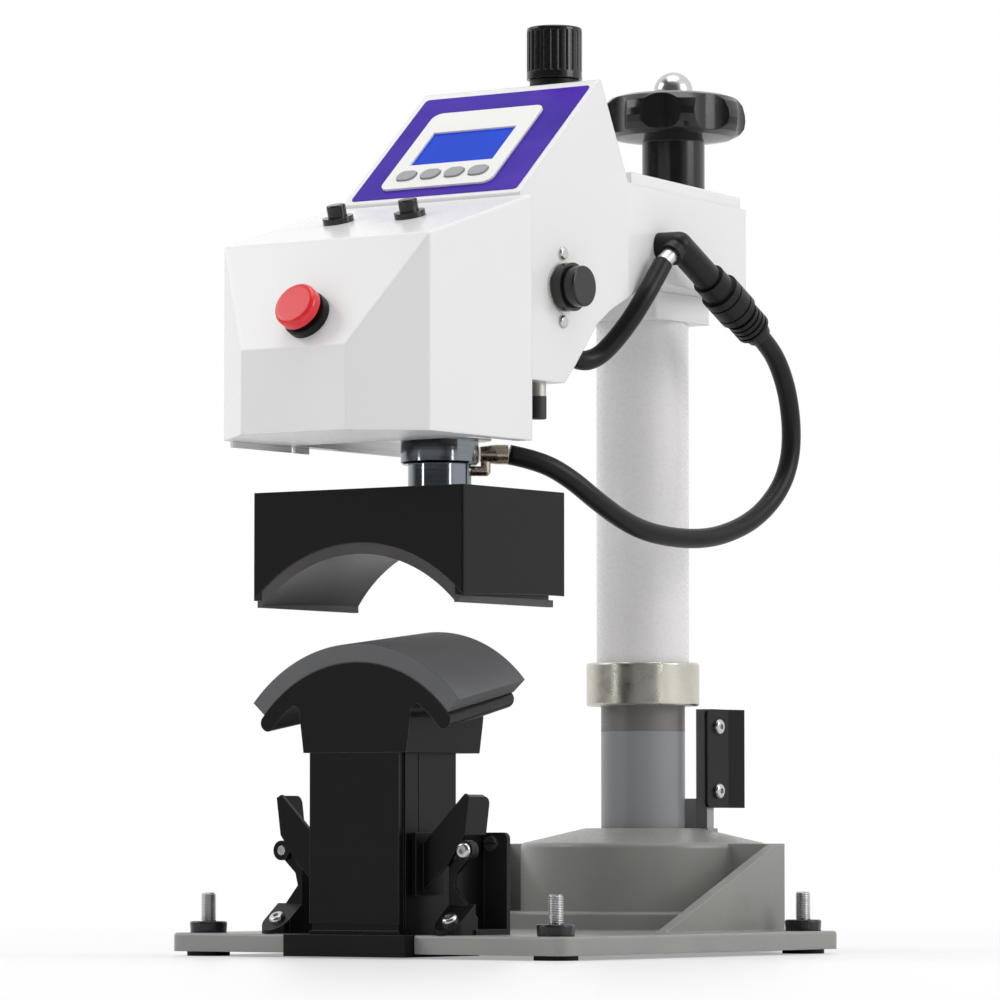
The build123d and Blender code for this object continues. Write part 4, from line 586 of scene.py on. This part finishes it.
class MeshMaker:
    """Turns rings of points into smooth closed meshes."""

    @staticmethod
    def piece(name: str, mesh: bmesh.types.BMesh, smooth: bool = True) -> bpy.types.Object:
        """Makes an object from a bmesh.

        Args:
            name: The piece's name.
            mesh: Its faces; freed here.
            smooth: Whether the faces are shaded smooth.

        Returns:
            The new object, in the scene.
        """
        bmesh.ops.recalc_face_normals(mesh, faces=mesh.faces)
        data = bpy.data.meshes.new(name)
        mesh.to_mesh(data)
        mesh.free()
        for face in data.polygons:
            face.use_smooth = smooth
        made = bpy.data.objects.new(name, data)
        bpy.context.scene.collection.objects.link(made)
        return made

    @staticmethod
    def loft(mesh: bmesh.types.BMesh, rings: list[list[Vector]], closed: bool = True) -> None:
        """Joins rings of equal length with quads and caps both ends.

        Args:
            mesh: The bmesh that the faces go into.
            rings: Rings of points in metres.
            closed: Whether the ends get a face.
        """
        rows = [[mesh.verts.new(point) for point in ring] for ring in rings]
        for low, high in zip(rows, rows[1:]):
            for i in range(len(low)):
                k = (i + 1) % len(low)
                mesh.faces.new((low[i], low[k], high[k], high[i]))
        if closed:
            mesh.faces.new(list(reversed(rows[0])))
            mesh.faces.new(rows[-1])

    @staticmethod
    def lathe(
        mesh: bmesh.types.BMesh, start: Vector, axis: Vector, profile: list[tuple[float, float]], sides: int = 48
    ) -> None:
        """Turns a profile round an axis.

        Args:
            mesh: The bmesh that the faces go into.
            start: Foot of the axis, in metres.
            axis: Direction of the axis.
            profile: Distance along the axis and radius, in millimetres.
            sides: Points round each ring.
        """
        along = axis.normalized()
        turn = along.to_track_quat("Z", "Y")
        rings = []
        for reach, radius in profile:
            ring = []
            for i in range(sides):
                angle = math.tau * i / sides
                spoke = turn @ Vector((math.cos(angle), math.sin(angle), 0))
                ring.append(start + along * mm(reach) + spoke * mm(radius))
            rings.append(ring)
        MeshMaker.loft(mesh, rings)

    @staticmethod
    def tube(mesh: bmesh.types.BMesh, path: list[Vector], radius: float, sides: int = 28) -> None:
        """Sweeps a round section along a path without twisting it.

        Args:
            mesh: The bmesh that the faces go into.
            path: Points of the centre line, in metres.
            radius: Radius in millimetres.
            sides: Points round the section.
        """
        tangent = (path[1] - path[0]).normalized()
        across = tangent.orthogonal().normalized()
        rings = []
        for i, point in enumerate(path):
            ahead = path[min(i + 1, len(path) - 1)] - path[max(i - 1, 0)]
            ahead.normalize()
            across = (across - ahead * across.dot(ahead)).normalized()
            side = ahead.cross(across)
            rings.append([
                point + (across * math.cos(a) + side * math.sin(a)) * mm(radius)
                for a in (math.tau * k / sides for k in range(sides))
            ])
        MeshMaker.loft(mesh, rings)


def nurbs_line(name: str, points: list[Point]) -> bpy.types.Object:
    """Makes the smooth centre line of a lead.

    Args:
        name: Name of the curve.
        points: Control points in the machine's millimetres.

    Returns:
        The curve object, without a bevel.
    """
    curve = bpy.data.curves.new(name, "CURVE")
    curve.dimensions = "3D"
    curve.resolution_u = 16
    spline = curve.splines.new("NURBS")
    spline.points.add(len(points) - 1)
    for spot, point in zip(spline.points, points):
        spot.co = (*row(point), 1.0)
    spline.order_u = 3
    spline.use_endpoint_u = True
    made = bpy.data.objects.new(name, curve)
    bpy.context.scene.collection.objects.link(made)
    return made


def points_of(line: bpy.types.Object) -> list[Vector]:
    """Reads the points that a centre line runs through.

    Args:
        line: The curve object.

    Returns:
        Its points in metres, from one end to the other.
    """
    bpy.context.view_layer.update()
    mesh = bpy.data.meshes.new_from_object(line)
    points = [vertex.co.copy() for vertex in mesh.vertices]
    bpy.data.meshes.remove(mesh)
    return points


def length_of(points: list[Vector]) -> float:
    """Returns the length of a run of points, in metres."""
    return sum((b - a).length for a, b in zip(points, points[1:]))


# ---------------------------------------------------------------- camera, light and floor

@dataclass
class Studio:
    """Camera at the photograph's place, soft light and a pale floor."""

    camera_place: Point = (2178.2, -2913.3, 71.35)
    heading: float = 35.3076
    pitch: float = 3.479
    lens: float = 204.91

    def make_camera(self) -> None:
        """Places the camera low to the right of the machine, tilted up a little."""
        data = bpy.data.cameras.new("camera")
        data.sensor_width = 36.0
        data.lens = self.lens
        data.clip_start, data.clip_end = 0.05, 100.0
        camera = bpy.data.objects.new("camera", data)
        camera.location = row(self.camera_place)
        camera.rotation_euler = (math.radians(90 + self.pitch), 0.0, math.radians(self.heading))
        bpy.context.scene.collection.objects.link(camera)
        bpy.context.scene.camera = camera
        LOG.info("camera placed")

    def soft_box(self, name: str, place: Point, size: float, power: float) -> None:
        """Hangs a square soft box that points at the middle of the machine.

        Args:
            name: Name of the lamp.
            place: Where it hangs, in metres.
            size: Side of the square, in metres.
            power: Watts.
        """
        lamp = bpy.data.lights.new(name, "AREA")
        lamp.shape, lamp.size, lamp.energy = "SQUARE", size, power
        made = bpy.data.objects.new(name, lamp)
        made.location = place
        aim = Vector((0.0, 0.0, 0.32)) - Vector(place)
        made.rotation_euler = aim.to_track_quat("-Z", "Y").to_euler()
        bpy.context.scene.collection.objects.link(made)

    def make_light(self) -> None:
        """Hangs the soft boxes and lights the room evenly."""
        self.soft_box("soft box left", (-2.3, -1.5, 1.9), 1.5, 26.0)
        self.soft_box("soft box right", (2.5, 0.6, 1.5), 1.3, 22.0)
        self.soft_box("soft box above", (0.1, -0.2, 2.7), 1.6, 20.0)
        self.soft_box("strip left", (-1.2, -2.4, 0.5), 0.22, 1.6)
        self.soft_box("strip right", (2.9, -0.9, 0.5), 0.25, 1.6)
        world = bpy.data.worlds.new("room")
        bpy.context.scene.world = world
        world.use_nodes = True
        world.node_tree.nodes.clear()
        graph = Graph(world.node_tree)
        rays = graph.add("ShaderNodeLightPath")
        seen = graph.math("MAXIMUM", rays.outputs["Is Camera Ray"], rays.outputs["Is Transmission Ray"])
        toward = graph.add("ShaderNodeSeparateXYZ", {0: graph.add("ShaderNodeTexCoord").outputs["Generated"]})
        room = graph.ramp(toward.outputs[1], -0.55, 0.05)
        gloss = graph.mix(room, 0.10, 1.0)
        lit = graph.mix(rays.outputs["Is Glossy Ray"], 0.62, gloss)
        strength = graph.mix(seen, lit, 1.0)
        light = graph.add("ShaderNodeBackground", {"Color": (1.0, 1.0, 1.0, 1.0), "Strength": strength})
        graph.add("ShaderNodeOutputWorld", {"Surface": light.outputs[0]})
        bpy.context.scene.view_settings.view_transform = "Standard"
        LOG.info("light hung")

    def make_floor(self) -> None:
        """Lays a wide pale floor that fades to white away from the machine."""
        mesh = bmesh.new()
        bmesh.ops.create_circle(mesh, cap_ends=True, segments=96, radius=30.0)
        floor = MeshMaker.piece("floor", mesh, smooth=False)
        made = bpy.data.materials.new("pale floor")
        made.use_nodes = True
        made.node_tree.nodes.clear()
        graph = Graph(made.node_tree)
        away = graph.add("ShaderNodeVectorMath", {0: graph.place()}, operation="LENGTH")
        fade = graph.ramp(away.outputs["Value"], 0.25, 1.6)
        rays = graph.add("ShaderNodeLightPath")
        matt = graph.add(
            "ShaderNodeBsdfPrincipled",
            {"Base Color": (0.88, 0.88, 0.885, 1.0), "Roughness": 0.35, "Specular IOR Level": 0.3},
        )
        white = graph.add("ShaderNodeEmission", {"Color": (1.0, 1.0, 1.0, 1.0), "Strength": 1.0})
        factor = graph.math("MULTIPLY", rays.outputs["Is Camera Ray"], graph.mix(fade, 0.35, 1.0))
        surface = graph.add("ShaderNodeMixShader", {0: factor, 1: matt.outputs[0], 2: white.outputs[0]})
        graph.add("ShaderNodeOutputMaterial", {"Surface": surface.outputs[0]})
        floor.data.materials.append(made)
        LOG.info("floor laid")


# ---------------------------------------------------------------- leads

@dataclass
class Leads:
    """The heater lead with its plug, and the supply lead that ends on the steel tube."""

    radius: float = 6.6
    heater_route: list[Point] = field(default_factory=lambda: [
        (32.8, 126.4, 327.3), (47.3, 140.9, 323.5), (58.3, 160.0, 312.6), (66.2, 180.0, 298.0),
        (69.0, 207.5, 286.0), (72.0, 235.0, 279.0), (76.4, 275.0, 276.7), (80.0, 309.0, 280.6),
        (84.0, 344.0, 293.0), (86.7, 370.0, 313.0), (88.0, 382.0, 334.0), (88.6, 384.0, 356.0),
        (88.4, 379.5, 380.0), (87.8, 370.0, 399.0), (86.9, 358.0, 412.0), (86.0, 346.6, 419.0),
    ])
    supply_route: list[Point] = field(default_factory=lambda: [
        (50.0, 154.0, 409.0), (50.0, 166.0, 398.6), (51.0, 181.0, 391.0), (56.0, 195.0, 394.5),
        (63.0, 204.0, 405.5), (71.0, 213.0, 421.0), (77.0, 221.0, 437.0),
        (77.8, 231.2, 449.1), (78.2, 240.0, 460.0),
    ])

    def heater_lead(self) -> None:
        """Heater lead: a round tube that follows the platen at one end and the arm at the other."""
        line = nurbs_line("heater_line", self.heater_route)
        path = points_of(line)
        bpy.data.objects.remove(line)
        mesh = bmesh.new()
        MeshMaker.tube(mesh, path, self.radius)
        lead = RUBBER.dress(MeshMaker.piece("heater_lead_hose", mesh))
        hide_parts("heater_lead")
        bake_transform(lead)
        LOG.info("heater lead, %.0f mm", 1000 * length_of(path))

    def supply_lead(self) -> None:
        """Supply lead: out of the arm's sloping underside and up to the steel tube."""
        line = nurbs_line("supply_lead_hose", self.supply_route)
        path = points_of(line)
        line.data.bevel_depth = mm(self.radius)
        line.data.bevel_resolution = 6
        line.data.use_fill_caps = True
        RUBBER.dress(line)
        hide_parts("supply_lead")
        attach(line, "head")
        LOG.info("supply lead, %.0f mm", 1000 * length_of(path))

    def build(self) -> None:
        """Makes both leads and dresses what they join."""
        self.heater_lead()
        self.supply_lead()
        RUBBER.put_on("inline_plug", "elbow_sleeve", "heater_lead", "supply_lead")
        TURNED_STEEL.put_on("steel_tube")


# ---------------------------------------------------------------- base

@dataclass
class BaseUnit:
    """Base casting on its four threaded feet."""

    feet_x: tuple[float, float] = (-131.0, 145.0)
    feet_y: tuple[float, float] = (18.0, 307.0)
    stud_radius: float = 5.0
    thread_pitch: float = 1.5
    thread_depth: float = 0.75
    stud_top: float = 41.0
    stud_foot: float = 6.0

    def stud(self, mesh: bmesh.types.BMesh, x: float, y: float) -> None:
        """Cuts one threaded stud.

        Args:
            mesh: The bmesh that the faces go into.
            x: Place across the machine.
            y: Place along the machine.
        """
        sides, steps = 32, 10
        count = int((self.stud_top - self.stud_foot) / self.thread_pitch * steps)
        rings = []
        for k in range(count + 1):
            z = self.stud_foot + (self.stud_top - self.stud_foot) * k / count
            tip = max(0.0, 1.0 - (self.stud_top - z) / 1.2)
            ring = []
            for i in range(sides):
                turn = (z / self.thread_pitch + i / sides) % 1.0
                root = self.thread_depth * min(1.0, 2.6 * min(turn, 1.0 - turn))
                radius = self.stud_radius - self.thread_depth + root - tip * 0.9
                angle = math.tau * i / sides
                ring.append(row((x + radius * math.cos(angle), y + radius * math.sin(angle), z)))
            rings.append(ring)
        MeshMaker.loft(mesh, rings)

    def build(self) -> None:
        """Makes the studs and dresses the casting and the feet."""
        mesh = bmesh.new()
        for x in self.feet_x:
            for y in self.feet_y:
                self.stud(mesh, x, y)
        studs = BRIGHT_STEEL.dress(MeshMaker.piece("threaded_studs", mesh, smooth=False))
        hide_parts("foot_studs")
        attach(studs, "base")
        BRIGHT_STEEL.put_on("foot_studs")
        BASE_PAINT.put_on("base_casting")
        FOOT_RUBBER.put_on("foot_pads")
        FOOT_CAP.put_on("foot_caps")
        LOG.info("base unit with %d studs", len(self.feet_x) * len(self.feet_y))


# ---------------------------------------------------------------- column and arm

@dataclass
class Column:
    """Grey post, white outer tube, zinc ring, stop bar and its plate."""

    def build(self) -> None:
        """Dresses the column's pieces."""
        COLUMN_PAINT.put_on("column_post")
        BAND_STEEL.put_on("column_bushes")
        TUBE_PAINT.put_on("outer_tube")
        ZINC.put_on("foot_ring")
        BAR_PAINT.put_on("stop_bar")
        BLACK_COAT.put_on("stop_plate")
        BRIGHT_STEEL.put_on("stop_screws", "lift_bracket")
        BRONZE.put_on("lift_nut")
        LOG.info("column dressed")


@dataclass
class SwingArm:
    """White arm with the height wheel, regulator knob, side button and silencer."""

    def build(self) -> None:
        """Dresses the arm's pieces."""
        WHITE_PAINT.put_on("arm_shell", "arm_top_plate", "sleeve_block")
        GLOSS_BLACK.put_on("handwheel", "regulator_knob", "side_cap")
        BRIGHT_STEEL.put_on("ball_nut", "height_screw", "side_screws")
        MATT_BLACK.put_on("regulator_body")
        side_ring = Finish(
            "side button collar", "black_plastic", (0.008, 0.008, 0.0085), (0.006, 0.006, 0.006), 0.2,
            edge_radius=0.4, grain_scale=900.0, grain_depth=0.006,
            patches=(Patch((71.3, 100.0, 400.0), (72.95, 160.0, 470.0), (0.62, 0.60, 0.55), 0.25, 1.0),),
        )
        side_ring.put_on("side_collar")
        silencer = Finish(
            "silencer body", "black_steel", (0.02, 0.02, 0.022), (0.015, 0.015, 0.016), 0.5,
            edge_radius=0.3, grain_scale=2400.0, grain_depth=0.05,
            patches=(Patch((50.0, 110.0, 363.9), (70.0, 130.0, 380.0), (0.52, 0.50, 0.46), 0.35, 1.0),),
        )
        silencer.put_on("silencer")
        LOG.info("swing arm dressed")


@dataclass
class ControlPanel:
    """Purple panel film, display frame, blue display and four keys."""

    def film(self) -> bpy.types.Material:
        """Makes the purple film, with a slow violet sheen painted into its colour."""
        made = bpy.data.materials.new("purple panel film")
        made.use_nodes = True
        made.node_tree.nodes.clear()
        graph = Graph(made.node_tree)
        # Painted sheen: long streaks lighten the film towards a paler violet
        painted_sheen = SHELF.place(graph, Effect.STREAKS, Stretch=(9.0, 22.0, 16.0))
        drift = SHELF.place(
            graph, Effect.TONE_DRIFT, Colour=(0.030, 0.008, 0.30, 1), Shade=(0.060, 0.018, 0.37, 1),
            Scale=17.0, Amount=0.5,
        )
        colour = graph.mix_colour(
            graph.math("MULTIPLY", painted_sheen.outputs["Mask"], 0.65), drift.outputs["Colour"], (0.085, 0.024, 0.42, 1)
        )
        grain = SHELF.place(graph, Effect.FINE_GRAIN, Scale=2600.0, Detail=2.0)
        bump = graph.add("ShaderNodeBump", {"Distance": mm(0.008), "Height": grain.outputs["Height"]})
        shader = graph.add(
            "ShaderNodeBsdfPrincipled",
            {"Base Color": colour, "Roughness": 0.34, "Specular IOR Level": 0.1, "Normal": bump.outputs[0]},
        )
        graph.add("ShaderNodeOutputMaterial", {"Surface": shader.outputs[0]})
        return made

    def screen(self) -> bpy.types.Material:
        """Makes the lit blue display."""
        made = bpy.data.materials.new("blue display")
        made.use_nodes = True
        made.node_tree.nodes.clear()
        graph = Graph(made.node_tree)
        drift = SHELF.place(
            graph, Effect.TONE_DRIFT, Colour=(0.0, 0.036, 0.44, 1), Shade=(0.0, 0.046, 0.52, 1),
            Scale=22.0, Amount=0.6,
        )
        shader = graph.add(
            "ShaderNodeBsdfPrincipled",
            {"Base Color": drift.outputs["Colour"], "Roughness": 0.25, "Specular IOR Level": 0.1,
             "Emission Color": drift.outputs["Colour"], "Emission Strength": 0.25},
        )
        graph.add("ShaderNodeOutputMaterial", {"Surface": shader.outputs[0]})
        return made

    def build(self) -> None:
        """Dresses the panel."""
        for node, material in (("panel_overlay", self.film()), ("display_glass", self.screen())):
            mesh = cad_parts[node].data
            mesh.materials.clear()
            mesh.materials.append(material)
        BEZEL_WHITE.put_on("display_bezel")
        GREY_KEY.put_on("key_1", "key_2", "key_3", "key_4")
        BOARD_GREEN.put_on("controller_board")
        LOG.info("control panel dressed")


@dataclass
class PressHead:
    """Cover, its buttons, air cylinder, rod, platen and heater shoe."""

    def build(self) -> None:
        """Dresses the head's pieces."""
        WHITE_PAINT.put_on("head_cover")
        ALUMINIUM.put_on("cover_bosses", "air_cylinder")
        GLOSS_BLACK.put_on("start_rings", "start_cap_right", "start_cap_left")
        MATT_BLACK.put_on("stop_collar")
        RED_PLASTIC.put_on("stop_cap")
        DARK_ROD.put_on("press_rod")
        PLATEN_COAT.put_on("platen_body")
        SHOE_COAT.put_on("heater_shoe")
        NICKEL.put_on("lead_fitting")
        LOG.info("press head dressed")


@dataclass
class FormStand:
    """Pedestal, cradle and silicone pad, with the clamp levers that hold them."""

    def build(self) -> None:
        """Dresses the stand's pieces."""
        BLACK_COAT.put_on("pedestal_post", "seat_block", "lever_right", "lever_left")
        # Painted light: the brackets' rear ear plate is painted lighter than the black coat, where it lies in shade;
        # the edges keep the coat's painted highlight
        bracket = replace(
            BLACK_COAT, name="bracket powder coat",
            patches=(Patch((57.0, 56.5, 14.0), (81.0, 61.0, 81.0), (0.014, 0.0135, 0.013), 0.5),),
        )
        bracket.put_on("lever_brackets")
        PLATEN_COAT.put_on("cradle")
        SILICONE.put_on("silicone_pad")
        BRIGHT_STEEL.put_on("pivot_screws", "bracket_screws")
        BLACK_OXIDE.put_on("slotted_screws")
        LOG.info("form stand dressed")


def main() -> None:
    """Builds the scene."""
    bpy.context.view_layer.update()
    studio = Studio()
    studio.make_camera()
    Leads().build()
    studio.make_light()
    studio.make_floor()
    for unit in (BaseUnit(), Column(), SwingArm(), ControlPanel(), PressHead(), FormStand()):
        unit.build()
        LOG.info("%s done", type(unit).__name__)


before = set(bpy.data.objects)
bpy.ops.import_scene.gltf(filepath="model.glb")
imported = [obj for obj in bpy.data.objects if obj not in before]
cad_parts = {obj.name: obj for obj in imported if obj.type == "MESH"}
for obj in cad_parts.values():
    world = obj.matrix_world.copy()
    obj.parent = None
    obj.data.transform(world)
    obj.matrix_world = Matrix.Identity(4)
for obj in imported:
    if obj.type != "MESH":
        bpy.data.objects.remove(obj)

if __name__ == "__main__":
    logging.basicConfig(level=logging.INFO)
    main()
